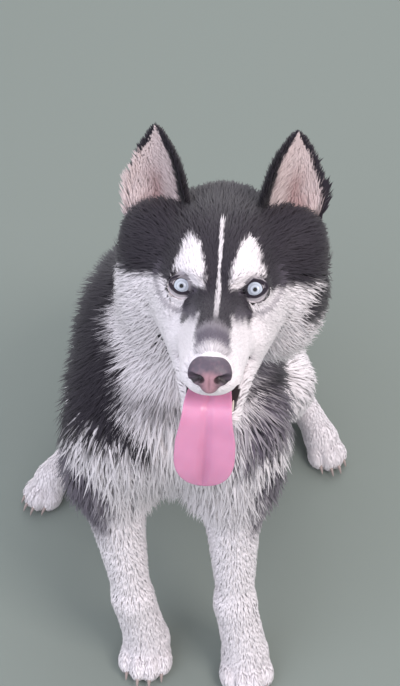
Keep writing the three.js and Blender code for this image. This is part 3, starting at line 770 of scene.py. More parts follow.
def ear_coat(s, draw):
    """Roots, middle lines, grounds and colours of an ear's tufts: short behind, long and pale in the cup."""
    ear = ear_shell(s)
    triangles = triangles_of(ear["faces"])
    corners = ear["points"][triangles]
    normal = np.cross(corners[:, 1] - corners[:, 0], corners[:, 2] - corners[:, 0])
    area = np.linalg.norm(normal, axis=1) / 2
    run = np.cumsum(area)
    chosen = np.searchsorted(run, (np.arange(EAR_TUFTS) + draw.random(EAR_TUFTS)) / EAR_TUFTS * run[-1])
    u, v = draw.random((2, EAR_TUFTS))
    u, v = np.where(u + v > 1, 1 - u, u)[:, None], np.where(u + v > 1, 1 - v, v)[:, None]
    a, b, c = (corners[chosen, i] for i in range(3))
    roots, out = a + (b - a) * u + (c - a) * v, unit(normal[chosen])
    pick = triangles[chosen, 0]
    inner, height, edge, outward = (ear[key][pick] for key in ("inner", "height", "edge", "outward"))
    aside = ear["level"] * np.sign(ear["level"] @ HEAD.side) * s
    rim = smooth(edge, 0.8, 1.0)
    fan = np.where(inner, 0.25 * np.sign(outward) * (1 - 2 * (1 - rim)), 0.35 * np.sign(outward) * edge)
    ways = ear["rise"] + aside * fan[:, None] + ear["gape"] * (0.3 * inner)[:, None]
    ways = unit(ways + 0.12 * draw.normal(size=ways.shape))
    top = 1 - 0.65 * smooth(height, 0.5, 1.0)
    length = np.where(inner, 11 + 8 * smooth(-height, -0.5, 0), 8.0) * top * (0.75 + 0.5 * draw.random(EAR_TUFTS))
    depth = np.where(inner, 3.5, 2.2) * top
    lines = [
        roots + ways * (share * length)[:, None] + out * (high * depth)[:, None]
        for share, high, _ in [*TUFT, (1.0, 1.0, 0.0)]
    ]
    tone = ear_colours(ear, pick) * (0.92 + 0.12 * draw.random((EAR_TUFTS, 1)))
    places = np.stack([0.02 + 0.96 * ear["round"][pick], 0.1 + 0.8 * np.clip(height, 0, 1)], axis=1)
    keep = height > -0.25
    lines = np.stack(lines, axis=1)[keep]
    return lines, np.repeat(out[keep, None], len(TUFT) + 1, axis=1), places[keep], tone[keep]


# An eye's opening: an almond leant up at its outer corner, as angles seen from the middle of the eyeball.
LID_WIDE = 54.0
LID_HIGH = (34.0, 31.0)
LID_NEAR = 19.0
LID_CORNER = 2.2
LID_LEAN = 17.0
LID_LEVEL = 0.4
LID_REACH = 88.0
LID_FAR = 15.5


def eye_axes(s):
    """An eye's middle and its opening's ahead, outward and upward directions, in the head's frame."""
    ahead = unit(LID_AXIS)
    out = np.array([s, 0.0, 0.0])
    up = np.cross(out, ahead) * s
    lean = math.radians(LID_LEAN)
    return (
        ball_place(s),
        ahead,
        out * math.cos(lean) + up * math.sin(lean),
        up * math.cos(lean) - out * math.sin(lean),
    )


def lid_edge(angle):
    """How far in degrees the opening's edge is from its middle, at an angle round it: two arcs that cross."""
    high = np.where(np.sin(angle) > 0, LID_HIGH[0], LID_HIGH[1])
    rise, run = np.abs(np.sin(angle)), np.cos(angle)
    return 2 * high / (rise + np.sqrt(rise**2 + 4 * (high * run / LID_WIDE) ** 2))


def past_lid(q, s):
    """How far points of the head's frame are past the edge of an eye's opening, in mm along the face."""
    middle, ahead, out, up = eye_axes(s)
    way = unit(q - middle)
    tilt = np.degrees(np.arccos(np.clip(way @ ahead, -1, 1)))
    angle = np.arctan2(way @ up, way @ out)
    far = np.linalg.norm(q - middle, axis=1)
    past = np.radians(tilt - lid_edge(angle)) * np.minimum(far, LID_NEAR) + np.maximum(far - EYE_RADIUS - 6, 0)
    return past - LID_CORNER * np.cos(angle) ** 4 * smooth(past, 1, 4)


def eyelids(s, rows=12, around=72):
    """A closed shell from the opening's edge out over the skin round it, and back along the eyeball."""
    middle, ahead, out, up = eye_axes(s)
    angle = np.arange(around) / around * 2 * math.pi
    edge = lid_edge(angle)
    round_ = np.cos(angle)[:, None] * out + np.sin(angle)[:, None] * up
    start = np.tile(HEAD.at(middle), (around, 1))
    ball = EYE_RADIUS + 0.25
    rings = []
    for share in [*np.linspace(0, 1, rows + 1) ** 1.2, 0.9, 0.45]:
        tilt = np.radians(edge + (LID_REACH - edge) * share)[:, None]
        ray = (ahead * np.cos(tilt) + round_ * np.sin(tilt)) @ HEAD.rows
        skin = np.minimum(np.linalg.norm(shoot(face, start, ray, 40) - start, axis=1), LID_FAR)
        level = LID_LEVEL * (1 - 2 * share)
        cover = smooth(share, 0, 0.3) if len(rings) <= rows else 0
        rings.append(start + ray * (ball + (skin + level - ball) * cover)[:, None])
    rings = np.concatenate(rings)
    count = len(rings) // around
    i, j = np.meshgrid(np.arange(count), np.arange(around), indexing="ij")
    n, k = (i + 1) % count, (j + 1) % around
    quads = np.stack([i * around + j, n * around + j, n * around + k, i * around + k], axis=-1)
    quads = quads.reshape(-1, 4)
    return rings, (quads if s > 0 else quads[:, ::-1]).tolist()


IRIS = dict(edge=43.0, pupil=10.0, look=(0.03, 0.93, 0.36))


def eyeball(s, rings=70, around=96):
    """An eyeball turned to what it looks at, with the bulge of its cornea, and the colours of its iris."""
    middle, look = ball_place(s), unit(IRIS["look"])
    out = unit(np.cross(look, (0, 0, 1)))
    up = np.cross(out, look)
    tilt = math.pi * np.linspace(0, 1, rings + 2)[1:-1] ** 1.5
    angle = np.arange(around) / around * 2 * math.pi
    radius = EYE_RADIUS * (1 + 0.035 * (1 - smooth(np.degrees(tilt), 10, 44)))
    round_ = np.cos(angle)[:, None] * out + np.sin(angle)[:, None] * up
    places = look * np.cos(tilt)[:, None, None] + round_[None] * np.sin(tilt)[:, None, None]
    places = middle + places * radius[:, None, None]
    points, faces = closed(
        HEAD.at(places.reshape(-1, 3)), around, HEAD.at(middle + look * radius[0]), HEAD.at(middle - look * EYE_RADIUS)
    )
    degrees = np.append(np.repeat(np.degrees(tilt), around), [0.0, 180.0])
    turn = np.append(np.tile(angle, rings), [0.0, 0.0])
    return points, faces, iris_colours(degrees, turn)


def iris_colours(degrees, turn):
    """Small black pupil, a dusky ring round it, a pale iris with fine spokes and a dark rim, and the white, darkened
    away from the iris by painted shade.
    """
    colours = bpy.context.scene.husky_colours
    edge, pupil = IRIS["edge"], IRIS["pupil"]
    spokes = 1 + 0.09 * np.sin(31 * turn + 2 * np.sin(5 * turn)) + 0.05 * np.sin(67 * turn)
    iris = np.array(colours.iris) * spokes[:, None]
    dusk = (1 - smooth(degrees, pupil, pupil + 6)) * 0.55 + 0.35 * np.exp(-(((degrees - 24) / 3.5) ** 2))
    iris = iris * (1 - dusk[:, None] * 0.8)
    rim = smooth(degrees, edge - 8, edge - 3)[:, None]
    dark = np.array(colours.lips)
    out = iris * (1 - rim) + dark * rim
    white = smooth(degrees, edge, edge + 3)[:, None]
    # Painted shade: the white darkens by half away from the iris, towards the corners under the lids.
    out = out * (1 - white) + np.array(colours.sclera) * (1 - 0.5 * smooth(degrees, edge + 2, edge + 26)[:, None]) * white
    hole = 1 - smooth(degrees, pupil - 1.2, pupil)[:, None]
    return out * (1 - hole) + 0.004 * hole


NOSTRIL = dict(centre=(9.8, 115.0, -38.0), radii=(4.9, 8.5, 4.4))
NOSTRIL_SLIT = ((10.5, 114.0, -38.5), (17.5, 108.0, -43.0), 2.0, 1.2)
nose_pad = blend(
    5,
    in_frame(HEAD, egg((0, 102, -33), (19, 14, 13))),
    in_frame(HEAD, egg((0, 106, -42), (10, 9, 13))),
    *both(lambda s: in_frame(HEAD, egg((11 * s, 107, -37), (8.5, 8.5, 8)))),
)


def nostril(s):
    """A nostril: a round hole that runs out into a slit to the side."""
    (x, ahead, up), (a, b, ra, rb) = NOSTRIL["centre"], NOSTRIL_SLIT
    hole = egg((x * s, ahead, up), NOSTRIL["radii"])
    slit = limb((a[0] * s, *a[1:]), (b[0] * s, *b[1:]), ra, rb)
    return in_frame(HEAD, blend(2, hole, slit))


nostrils = both(nostril)
nose_groove = in_frame(HEAD, limb((0, 118.5, -30), (0, 114, -56), 1.2, 1.5))


def nose():
    """The nose pad with its nostrils and groove, and its colours, with painted shade darkening the nostrils and the
    groove.
    """
    field = nose_pad
    for hole in nostrils:
        field = carve(2, field, hole)
    field = carve(1.5, field, nose_groove)
    spine = [HEAD.at((0, 97, -37)), HEAD.at((0, 105, -38))]
    points, faces = wrap(field, spine, 24, 110, 42, HEAD.side)
    colours = bpy.context.scene.husky_colours
    side, ahead, up = HEAD.into(points).T
    middle = np.exp(-((side / 9) ** 2)) * (1 - smooth(up, -36, -26)) * smooth(ahead, 104, 112)
    rough = 0.12 * ripple(points, 7)
    pink = np.clip(middle + rough, 0, 1)[:, None]
    tone = np.array(colours.nose) * (1 - pink) + np.array(colours.nose_pink) * pink
    # Painted shade: nearly black inside the nostrils, and half as dark along the groove.
    deep = smooth(-np.minimum(nostrils[0](points), nostrils[1](points)), -1.6, 0.6)[:, None]
    groove = smooth(-nose_groove(points), -0.8, 0.2)[:, None] * 0.5
    return points, faces, tone * (1 - np.maximum(deep, groove)) + np.array(colours.lips) * 0.25 * deep


def tongue(rows=90, around=64):
    """The tongue lies along the jaw, goes over its front and hangs, with a groove down its middle."""
    front = JAW.at((-3, 80, -45))
    spine = [JAW.at((0, 6, -47)), JAW.at((0, 34, -48)), JAW.at((-2, 60, -44)), front]
    drop = TONGUE["drop"]
    spine += [front + np.array([-5 * k, -14 * k * (1.8 - k), -drop * k]) for k in (0.35, 0.7, 1)]
    t = np.linspace(0, 1, rows)
    places, along = curve(spine, 0.005 + 0.985 * t)
    across = unit(HEAD.side - along * (along @ HEAD.side)[:, None])
    over = np.cross(along, across)
    hang = smooth(t, 0.35, 0.8)
    round_ = np.sqrt(np.clip(1 - np.maximum(0, (t - 0.74) / 0.262) ** 2.3, 0.002, 1))
    half = (14 + (TONGUE["width"] / 2 - 14) * np.clip(t * 1.6, 0, 1) + 2.5 * hang) * round_
    angle = np.arange(around) / around * 2 * math.pi
    c, top = np.cos(angle)[None], np.sin(angle)[None]
    thick = TONGUE["thick"] * np.clip(round_, 0.25, 1)[:, None]
    rough = 0.25 * np.sin(t * 40)[:, None] * (1 - c**2)
    groove = np.exp(-((c / 0.16) ** 2)) * (top > 0) * (0.17 + 0.1 * hang[:, None])
    curl = (0.35 + 0.3 * (1 - hang[:, None])) * np.abs(c) ** 2.6
    deep = thick * (0.5 * np.sign(top) * np.abs(top) ** 0.8 - groove * 2 + curl) + rough * 0.3
    points = places[:, None] + across[:, None] * (half[:, None] * c)[..., None] + over[:, None] * deep[..., None]
    ends, _ = curve(spine, np.array([0.0, 0.993]))
    points, faces = closed(points.reshape(-1, 3), around, ends[0], ends[1])
    colours = bpy.context.scene.husky_colours
    along_ = np.append(np.repeat(t, around), [0.0, 1.0])
    middle = np.append(np.tile(np.exp(-((np.cos(angle) / 0.3) ** 2)), rows), [1.0, 1.0])
    # Painted shade: darker down the middle of the hanging part towards its tip, with uneven tone from the ripple on
    # top of it.
    deep = np.clip(0.55 * middle * smooth(along_, 0.5, 0.95) + 0.15 * ripple(points, 30) + 0.1, 0, 1)[:, None]
    return points, faces, np.array(colours.tongue) * (1 - deep) + np.array(colours.tongue_shaded) * deep


def horn(root, tip, bow, radius, rows=14, around=20):
    """A curved horn, tooth or claw: round, drawn in to a blunt point, bowed by the vector bow."""
    root, tip, bow = (np.array(v, float) for v in (root, tip, bow))
    t = np.linspace(0, 0.97, rows)[:, None]
    middle = root + (tip - root) * t + bow * (4 * t * (1 - t))
    way = unit(tip - root)
    across = unit(np.cross(way, bow))
    over = np.cross(across, way)
    angle = np.arange(around) / around * 2 * math.pi
    ring = np.cos(angle)[:, None] * across + np.sin(angle)[:, None] * over
    thick = radius * (1 - t) ** 0.6
    places = middle[:, None] + ring[None] * thick[:, None]
    return closed(places.reshape(-1, 3), around, root - way * radius * 0.3, tip)


def joined(shells):
    """Several closed surfaces as one list of points and one of faces."""
    points, faces = [], []
    for p, f in shells:
        base = sum(len(q) for q in points)
        points.append(np.asarray(p))
        faces += [tuple(k + base for k in face) for face in f]
    return np.vstack(points), faces


def lower_teeth():
    """Two canines and six small front teeth of the lower jaw."""
    teeth = []
    for s in SIDES.values():
        teeth.append(horn(JAW.at((17 * s, 66, -60)), JAW.at((21 * s, 70, -38)), JAW.ahead * 1.6, 3.6))
        for place in (2.4, 6.8, 10.6):
            root, tip = (place * s, 76 - place * 0.35, -58), (place * s, 77 - place * 0.35, -49)
            teeth.append(horn(JAW.at(root), JAW.at(tip), JAW.ahead * 0.5, 2.0))
    return joined(teeth)


def upper_teeth():
    """Two canines and six small front teeth of the upper jaw."""
    teeth = []
    for s in SIDES.values():
        teeth.append(horn(HEAD.at((18 * s, 74, -50)), HEAD.at((18.5 * s, 77, -65)), HEAD.ahead * 1.5, 3.4))
        for place in (2.4, 7.0, 11.2):
            root, tip = (place * s, 92 - place * 0.4, -52), (place * s, 93 - place * 0.4, -61)
            teeth.append(horn(HEAD.at(root), HEAD.at(tip), HEAD.ahead * 0.5, 2.2))
    return joined(teeth)


def claws(leg, size):
    """A claw on each toe of a paw, bent down to the floor."""
    axes = paw_axes(leg)
    made = []
    for place in TOES:
        side, ahead, high = toe_place(place, size)
        front = ahead + size["length"] * 0.17
        root, tip = axes.at((side, front, high * 0.95)), axes.at((side * 1.04, front + 13, 3.4))
        made.append(horn(root, tip, axes.up * 2.2 + axes.ahead * 0.8, 3.0))
    return joined(made)


class HUSKY_OT_face(bpy.types.Operator):
    """Makes the eyes with their lids, the nose, the tongue and the teeth"""

    bl_idname = "husky.face"
    bl_label = "Face"

    def execute(self, context):
        eye, hide = finish("wet eye", wet_eye), bpy.data.materials["skin under short fur"]
        for name, s in SIDES.items():
            points, faces, tone = eyeball(s)
            put_paint(add_piece(f"eyeball_{name}", points, faces, eye, "eye", [f"eye_{name}"]).data, tone)
            points, faces = eyelids(s)
            tone = markings(points, part_distances(points))
            put_paint(add_piece(f"eyelids_{name}", points, faces, hide, "coat_black").data, tone)
        points, faces, tone = nose()
        leather = finish("moist nose leather", nose_leather)
        put_paint(add_piece("nose_pad", points, faces, leather, "nose_leather", ["nose"]).data, tone)
        points, faces, tone = tongue()
        flesh = finish("wet tongue", tongue_flesh)
        put_paint(add_piece("tongue_flesh", points, faces, flesh, "tongue", ["tongue"]).data, tone)
        enamel = finish("tooth enamel", tooth_enamel)
        add_piece("teeth_lower", *lower_teeth(), enamel, "coat_white")
        add_piece("teeth_upper", *upper_teeth(), enamel, "coat_white")
        return {"FINISHED"}


class HUSKY_OT_claws(bpy.types.Operator):
    """Puts a claw on every toe"""

    bl_idname = "husky.claws"
    bl_label = "Claws"

    def execute(self, context):
        material = finish("worn claw horn", claw_horn)
        for name in SIDES:
            add_piece(f"claws_fore_{name}", *claws(FORE[name], PAWS["fore"]), material, "coat_white")
            add_piece(f"claws_hind_{name}", *claws(HIND[name], PAWS["hind"]), material, "coat_white")
        return {"FINISHED"}


class HUSKY_OT_collar(bpy.types.Operator):
    """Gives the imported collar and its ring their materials"""

    bl_idname = "husky.collar"
    bl_label = "Collar"

    def execute(self, context):
        bpy.data.objects["collar"].material_slots[0].material = finish("woven webbing", webbing)
        bpy.data.objects["collar_ring"].material_slots[0].material = finish("polished steel", steel)
        return {"FINISHED"}


# Where the marks lie, in the head's frame, each as it is on the left side.
HEAD_REACH = 80.0
BROW = dict(inner=(10.0, 0.17), outer=(49.0, 0.5), top=45.0, bottom=(0.0, 0.2), corner=9.0)
STRIPE_HALF = 1.3
LINER = (2.6, 4.2)
BRIDGE_HALF = (29.0, 13.5)


def brow_mark(wide, up):
    """The pale spot over an eye: upright inside, slanting outside, and as wide below as the eye."""
    inner = wide - BROW["inner"][0] - BROW["inner"][1] * (up - BROW["bottom"][0])
    outer = (BROW["outer"][0] - BROW["outer"][1] * (up - 8) - wide) * 0.9
    top = BROW["top"] - up
    bottom = up - BROW["bottom"][0] - BROW["bottom"][1] * (wide - BROW["inner"][0])
    room = BROW["corner"] - np.stack([inner, outer, top, bottom])
    return BROW["corner"] - np.linalg.norm(np.maximum(room, 0), axis=0)


def ripple(p, size_mm, seed=0.0):
    """A smooth uneven field between -1 and 1, with waves about size_mm long."""
    q = p / size_mm + seed
    turns = ((1.0, 0.7, 0.4), (-0.6, 1.1, 0.5), (0.3, -0.5, 1.3), (1.7, 0.2, -0.9))
    return sum(np.sin(6.28 * (q @ np.array(turn)) + 1.7 * i) for i, turn in enumerate(turns)) / 4


def head_marks(p):
    """Masks of the head: how black, how grey and how white each point is painted, in that order."""
    q = HEAD.into(p)
    side, ahead, up = q.T
    wide = np.abs(side)
    rough = ripple(p, 22) * 3
    cheek_top = 5 + 0.22 * ahead - 4 * (side > 0) + rough
    black = smooth(up - cheek_top, -4, 5) * smooth(wide, 30, 44)
    black = np.maximum(black, smooth(up - 12 - 0.1 * ahead, -3, 4) * (1 - smooth(ahead, 34, 50)))
    back = smooth(-(ahead + 92) + 0.5 * up + rough, -6, 10)
    black = np.maximum(black, back)
    black = np.maximum(black, smooth(wide + rough - 0.4 * up, 95, 104) * (side > 0) * smooth(up, -62, -50))
    brow = smooth(brow_mark(wide, up) + 0.4 * rough, -1.5, 2) * (ahead > -30)
    black = black * (1 - brow)
    narrow = smooth(ahead, 10, 50)
    half = BRIDGE_HALF[0] * (1 - narrow) + BRIDGE_HALF[1] * narrow
    bridge = (1 - smooth(wide + 0.7 * rough, half - 2, half + 3)) * smooth(ahead, -14, -4) * (up > -34)
    below = smooth(BROW["bottom"][0] + 5 + BROW["bottom"][1] * (wide - BROW["inner"][0]) - up, -3, 3)
    between = 1 - smooth(wide - BROW["inner"][0] - BROW["inner"][1] * (up - BROW["bottom"][0]), -3, 0)
    bridge = bridge * np.maximum(below, between)
    black = np.maximum(black, bridge * (1 - smooth(ahead, 56, 82)))
    grey = bridge * smooth(ahead, 54, 76) * (1 - 0.85 * smooth(ahead, 82, 100))
    around_eye = np.hypot(wide - EYE_PLACE[0] - 2, (up - EYE_PLACE[2] - 2) * 1.05)
    under = smooth(-up + 0.6 * (wide - EYE_PLACE[0]), -8, 2) * (ahead > -40)
    ring = np.exp(-(((around_eye - 23) / 3.0) ** 2)) * under
    grey = np.maximum(grey, 0.6 * ring)
    past = np.minimum(past_lid(q, 1), past_lid(q, -1))
    liner = 1 - smooth(past, LINER[0], LINER[1])
    grey = np.maximum(grey, 0.6 * (1 - smooth(past, 4.5, 8.5))) * (1 - liner)
    corner = 1 - smooth(np.hypot(wide - 22, up + 7), 5, 9)
    black = np.maximum(black, np.maximum(liner, corner * (ahead > -25) * (1 - brow)))
    half = STRIPE_HALF
    hook = 5 * smooth(up, 53, 57)
    stripe = 1 - smooth(np.abs(side - 1.0 - hook), half, half + 1.1)
    stripe = stripe * smooth(ahead, -40, -35) * (1 - smooth(ahead, 40, 66)) * (1 - 0.3 * smooth(ahead, 10, 60))
    return black, grey, stripe


# The dark yoke comes forwards past the sides of the throat and ends over each shoulder.
YOKE = dict(black=(84.0, 50.0), grey=30.0, below=(368.0, 390.0), dip_from=95.0, dip=1.2)
BACK_AXIS = ((CHEST_X, 150.0, 420.0), (0.0, 0.695, 0.72))


def body_marks(p, column):
    """Masks of the body: how black and how grey each point is painted."""
    x, y, z = p.T
    rough = ripple(p, 46) * 7 + ripple(p, 17, 3.1) * 3
    over = (p - np.array(BACK_AXIS[0])) @ np.array(BACK_AXIS[1])
    black = smooth(over + rough, -40, -22) * (1 - smooth(z, 430, 480) * (1 - smooth(y, 150, 200)))
    nape = smooth(y - 120 - 0.25 * (z - 494) + rough, -8, 8)
    black = np.maximum(black, nape * smooth(z, 425, 470))
    grey = np.zeros(len(p))
    out = np.abs(x)
    left = x > 0
    low = np.where(left, *YOKE["below"]) - YOKE["dip"] * np.maximum(out - YOKE["dip_from"], 0)
    inner = np.where(left, *YOKE["black"]) + 0.12 * np.maximum(z - 400, 0) * ~left
    yoke = smooth(z - low + rough, -6, 6) * (y < 200)
    black = np.maximum(black, smooth(out - inner + 0.6 * rough, -6, 6) * yoke)
    mottle = 0.95 + 0.4 * ripple(p, 13, 1.3)
    grey = np.maximum(grey, smooth(x - YOKE["grey"] + rough, -7, 9) * yoke * mottle)
    for name, s in SIDES.items():
        leg, hind = FORE[name], HIND[name]
        outer = s * (x - leg["elbow"][0] - 10) + 0.25 * (y - leg["elbow"][1])
        sleeve = smooth(outer + 0.6 * rough, -8, 8) * smooth(z + rough, 205, 255)
        near = np.minimum(column[f"foreleg_{name}"] - 14, 0) < 0
        grey = np.maximum(grey, sleeve * near * (0.7 + 0.3 * mottle))
        on_thigh = smooth(column["trunk"] - column[f"thigh_{name}"], -14, 6) * (s * (x - CHEST_X) > 0)
        cover = smooth(y + 0.9 * (z - 190) + rough, 380, 420)
        black = black * (1 - on_thigh) + cover * on_thigh
        low = np.minimum(column[f"shank_{name}"], column[f"hindpaw_{name}"])
        black = black * smooth(low - column[f"thigh_{name}"], -16, 2)
        front = np.minimum(column[f"foreleg_{name}"], column[f"forepaw_{name}"])
        black = black * smooth(front - column["trunk"], -14, 4)
    on_tail = smooth(column["trunk"] - column["tail"], -10, 12)
    top = smooth(z - 34 + rough, -10, 8) * (1 - smooth(y, 775, 800))
    black = black * (1 - on_tail) + top * on_tail
    return black * smooth(z, 30, 60) * (1 - on_tail) + black * on_tail, grey


def markings(p, distances):
    """The coat's colour at points of the skin: black cap, mask, back and sides on a white ground."""
    colours = bpy.context.scene.husky_colours
    white, black, grey = np.array(colours.white), np.array(colours.black), np.array(colours.grey)
    column = {name: distances[:, i] for i, name in enumerate(PART_NAMES)}
    skull = np.minimum(column["head"], column["jaw"])
    torso = np.minimum(column["neck"], column["trunk"])
    on_head = (smooth(torso - skull, -6, 8) * (skull < HEAD_REACH))[:, None]
    head_black, head_grey, stripe = (mask[:, None] for mask in head_marks(p))
    body_black, body_grey = (mask[:, None] for mask in body_marks(p, column))
    jaw = smooth(column["head"] - column["jaw"], -2, 2)[:, None]
    body_grey = np.clip(body_grey, 0, 1)
    body = white * (1 - body_grey) + grey * body_grey
    body = body * (1 - body_black) + black * body_black
    head = white * (1 - head_black) + black * head_black
    head = head * (1 - head_grey) + grey * head_grey
    head = head * (1 - stripe) + white * 0.8 * stripe
    head = head * (1 - jaw) + white * jaw
    out = body * (1 - on_head) + head * on_head
    return mouth_lining(p, out, colours)


def mouth_lining(p, out, colours):
    """Dark lips and the pink inside of the mouth, between the muzzle and the jaw."""
    side, ahead, up = HEAD.into(p).T
    low_side, low_ahead, low_up = JAW.into(p).T
    roof = (ahead > -20) * (ahead < 92) * (up < -46) * (low_up > -40) * (np.abs(side) < 34)
    floor = (low_ahead > -20) * (low_ahead < 78) * (low_up > -62) * (up < -50) * (np.abs(low_side) < 26)
    palate = 1 - smooth(np.abs(side) + 0.25 * np.maximum(ahead, 0), 20, 25)
    gum = 1 - smooth(np.abs(low_side) + 0.2 * np.maximum(low_ahead, 0), 22, 26)
    inside = np.maximum(roof * palate, floor * gum * smooth(low_up, -62, -56))[:, None]
    lips = np.maximum(roof * (up < -57), floor * smooth(low_up, -60, -56))[:, None] * (1 - inside)
    out = out * (1 - lips) + np.array(colours.lips) * lips
    return out * (1 - inside) + np.array(colours.gums) * inside


class HUSKY_OT_skin(bpy.types.Operator):
    """Makes the one skin under the coat from the flesh of every part"""

    bl_idname = "husky.skin"
    bl_label = "Skin"

    def execute(self, context):
        material = finish("skin under short fur", hide_under_coat)
        points, faces = raw_skin()
        rough = bpy.data.objects.new("rough skin", bpy.data.meshes.new("rough skin"))
        rough.data.from_pydata(in_metres(points).tolist(), [], faces)
        context.scene.collection.objects.link(rough)
        points, faces = remeshed("rough skin", context.scene.husky_sizes.skin_grain)
        bpy.data.objects.remove(rough)
        points, normals = settle(body, points, rounds=4)
        SKIN.update(points=points, normals=normals, triangles=triangles_of(faces))
        colours = markings(points, part_distances(points))
        for s in SIDES.values():
            ear = ear_shell(s)
            base = len(points)
            faces += [tuple(k + base for k in face) for face in ear["faces"]]
            points = np.vstack([points, ear["points"]])
            colours = np.vstack([colours, ear_colours(ear)])
        skin = add_piece("skin", points, faces, material, "coat_white", [*BODY_NODES, *LIMB_NODES])
        put_paint(skin.data, colours)
        return {"FINISHED"}


def toward(points, way):
    """One direction for every point."""
    return np.tile(np.array(way, float), (len(points), 1))


def head_lie(p):
    """On the head the hair runs back from the nose, up over the brows, and back and down on the cheeks."""
    side, ahead, up = HEAD.into(p).T
    s = np.sign(side)
    brow = smooth(up, -2, 16) * smooth(ahead, -40, -10) * (1 - smooth(ahead, 20, 40))
    cheek = smooth(-up, -14, 6) * (1 - smooth(ahead, 0, 40))
    out = toward(p, HEAD.ahead) * -1.0
    out += HEAD.side * ((0.012 * side) + 0.35 * s * cheek)[:, None]
    out += HEAD.up * (0.5 * brow - 0.85 * cheek)[:, None]
    for eye in SIDES.values():
        away = p - HEAD.at(eye_place(eye))
        far = np.linalg.norm(away, axis=1)
        out += away / far[:, None] * (2.0 * np.exp(-((far / 20) ** 2)))[:, None]
    return out


def trunk_lie(p):
    """Down over the chest, and down along the back towards the tail behind it."""
    front = 1 - smooth(p[:, 1], 80, 150)
    out = toward(p, (0, 0.62, -0.78)) * (1 - front[:, None])
    return out + toward(p, (0, -0.08, -1)) * front[:, None]


def tail_lie(p):
    """Along the tail, spreading a little to each side."""
    places, ways = curve(TAIL, np.linspace(0, 1, 40))
    near = ((p[:, None] - places[None]) ** 2).sum(2).argmin(1)
    return ways[near] + 0.35 * unit(p - places[near])


LIES = {
    "head": head_lie,
    "jaw": lambda p: toward(p, -JAW.ahead - 0.5 * JAW.up),
    "neck": lambda p: toward(p, (0, 0.30, -0.95)) + 0.15 * unit(p - np.array(NECK_BASE)),
    "trunk": trunk_lie,
    "tail": tail_lie,
    "thigh": lambda p: toward(p, (0, 0.45, -0.9)),
    "shank": lambda p: toward(p, (0, 0.25, -0.95)),
    "foreleg": lambda p: toward(p, (0, 0.12, -1)),
    "forepaw": lambda p: toward(p, (0, -0.7, -0.7)),
    "hindpaw": lambda p: toward(p, (0, -0.7, -0.7)),
}
# How deep the coat stands over the skin of each part, in mm.
DEPTHS = dict(head=6, jaw=6, neck=40, trunk=30, tail=32, thigh=22, shank=7, foreleg=6, forepaw=3, hindpaw=3)
SOFTEN = 12.0


def kind(name):
    """A part's name without its side."""
    return name.split("_")[0]


def coat_at(p):
    """The lie and the depth of the coat: each part's own, shared out by how near the point is to it."""
    distances = part_distances(p)
    share = np.exp(-(distances - distances.min(1)[:, None]) / SOFTEN)
    share /= share.sum(1)[:, None]
    lie, depth = np.zeros((len(p), 3)), np.zeros(len(p))
    lies = {k: unit(way(p)) for k, way in LIES.items()}
    for i, name in enumerate(PART_NAMES):
        lie += share[:, i, None] * lies[kind(name)]
        depth += share[:, i] * own_depth(kind(name), p)
    return unit(lie), depth


def own_depth(part, p):
    """The coat's depth on one part, with the head's short face and deep cheeks, and the legs' feathering."""
    depth = np.full(len(p), float(DEPTHS[part]))
    if part == "head":
        side, ahead, up = HEAD.into(p).T
        face = smooth(ahead, -30, 10)
        cheek = smooth(-ahead, 22, 74) * smooth(24 - up, -10, 24) * smooth(np.abs(side), 18, 46)
        crown = smooth(-ahead, 10, 50) * smooth(up, 10, 40)
        depth = 3.2 + 2.6 * (1 - face) + 7 * crown * (1 - cheek) + 17 * cheek
    if part == "foreleg":
        depth = depth + 8 * smooth(p[:, 2], 200, 330)
    if part == "trunk":
        depth = depth + 8 * (1 - smooth(p[:, 1], 90, 150)) * smooth(p[:, 2], 250, 330)
    return depth


def thin_to_even(points, triangles, weights, count, draw):
    """Places on the triangles, spread evenly by weight: one place for each equal share of the whole."""
    run = np.cumsum(weights)
    marks = (np.arange(count) + draw.random(count)) / count * run[-1]
    chosen = np.searchsorted(run, marks)
    u, v = draw.random((2, count))
    over = u + v > 1
    u, v = np.where(over, 1 - u, u)[:, None], np.where(over, 1 - v, v)[:, None]
    a, b, c = (points[triangles[chosen, i]] for i in range(3))
    return a + (b - a) * u + (c - a) * v


# The stations along a tuft: how far along it, how high, and how wide there, each as a share.
TUFT = ((0.0, -0.1, 0.7), (0.5, 0.7, 1.0))
FLOOR_COAT = 1.5
# A tuft takes the mark that lies under this share of it, so that marks end where they should.
SEEN = 0.62


def comb(roots, ways, length, depth, bend):
    """The middle line of each tuft: it lies along the body, higher at each station, and bends sideways."""
    p, lines, grounds = roots, [], []
    shares = [*TUFT, (1.0, 1.0, 0.0)]
    for k, (along, high, _) in enumerate(shares):
        if k:
            run = (along - shares[k - 1][0]) * length[:, None]
            level = unit(ways - normals * (ways * normals).sum(1)[:, None])
            turned = unit(level + np.cross(normals, level) * (bend * along)[:, None])
            p = p + turned * run
        p, normals = settle_to(p, depth * high)
        lines.append(p)
        grounds.append(normals)
    lines, grounds = np.stack(lines, 1), np.stack(grounds, 1)
    low = np.minimum(lines[..., 2] - FLOOR_COAT, 0)
    lines[..., 2] -= low
    return lines, grounds


def settle_to(p, level):
    """Moves each point to its own height over the skin, and gives the way out of the skin there."""
    value, rise = slope(body, p, 1.0)
    reach = np.clip((level - value) / np.maximum((rise**2).sum(1), 0.2), -25, 25)
    return p + rise * reach[:, None], unit(rise)


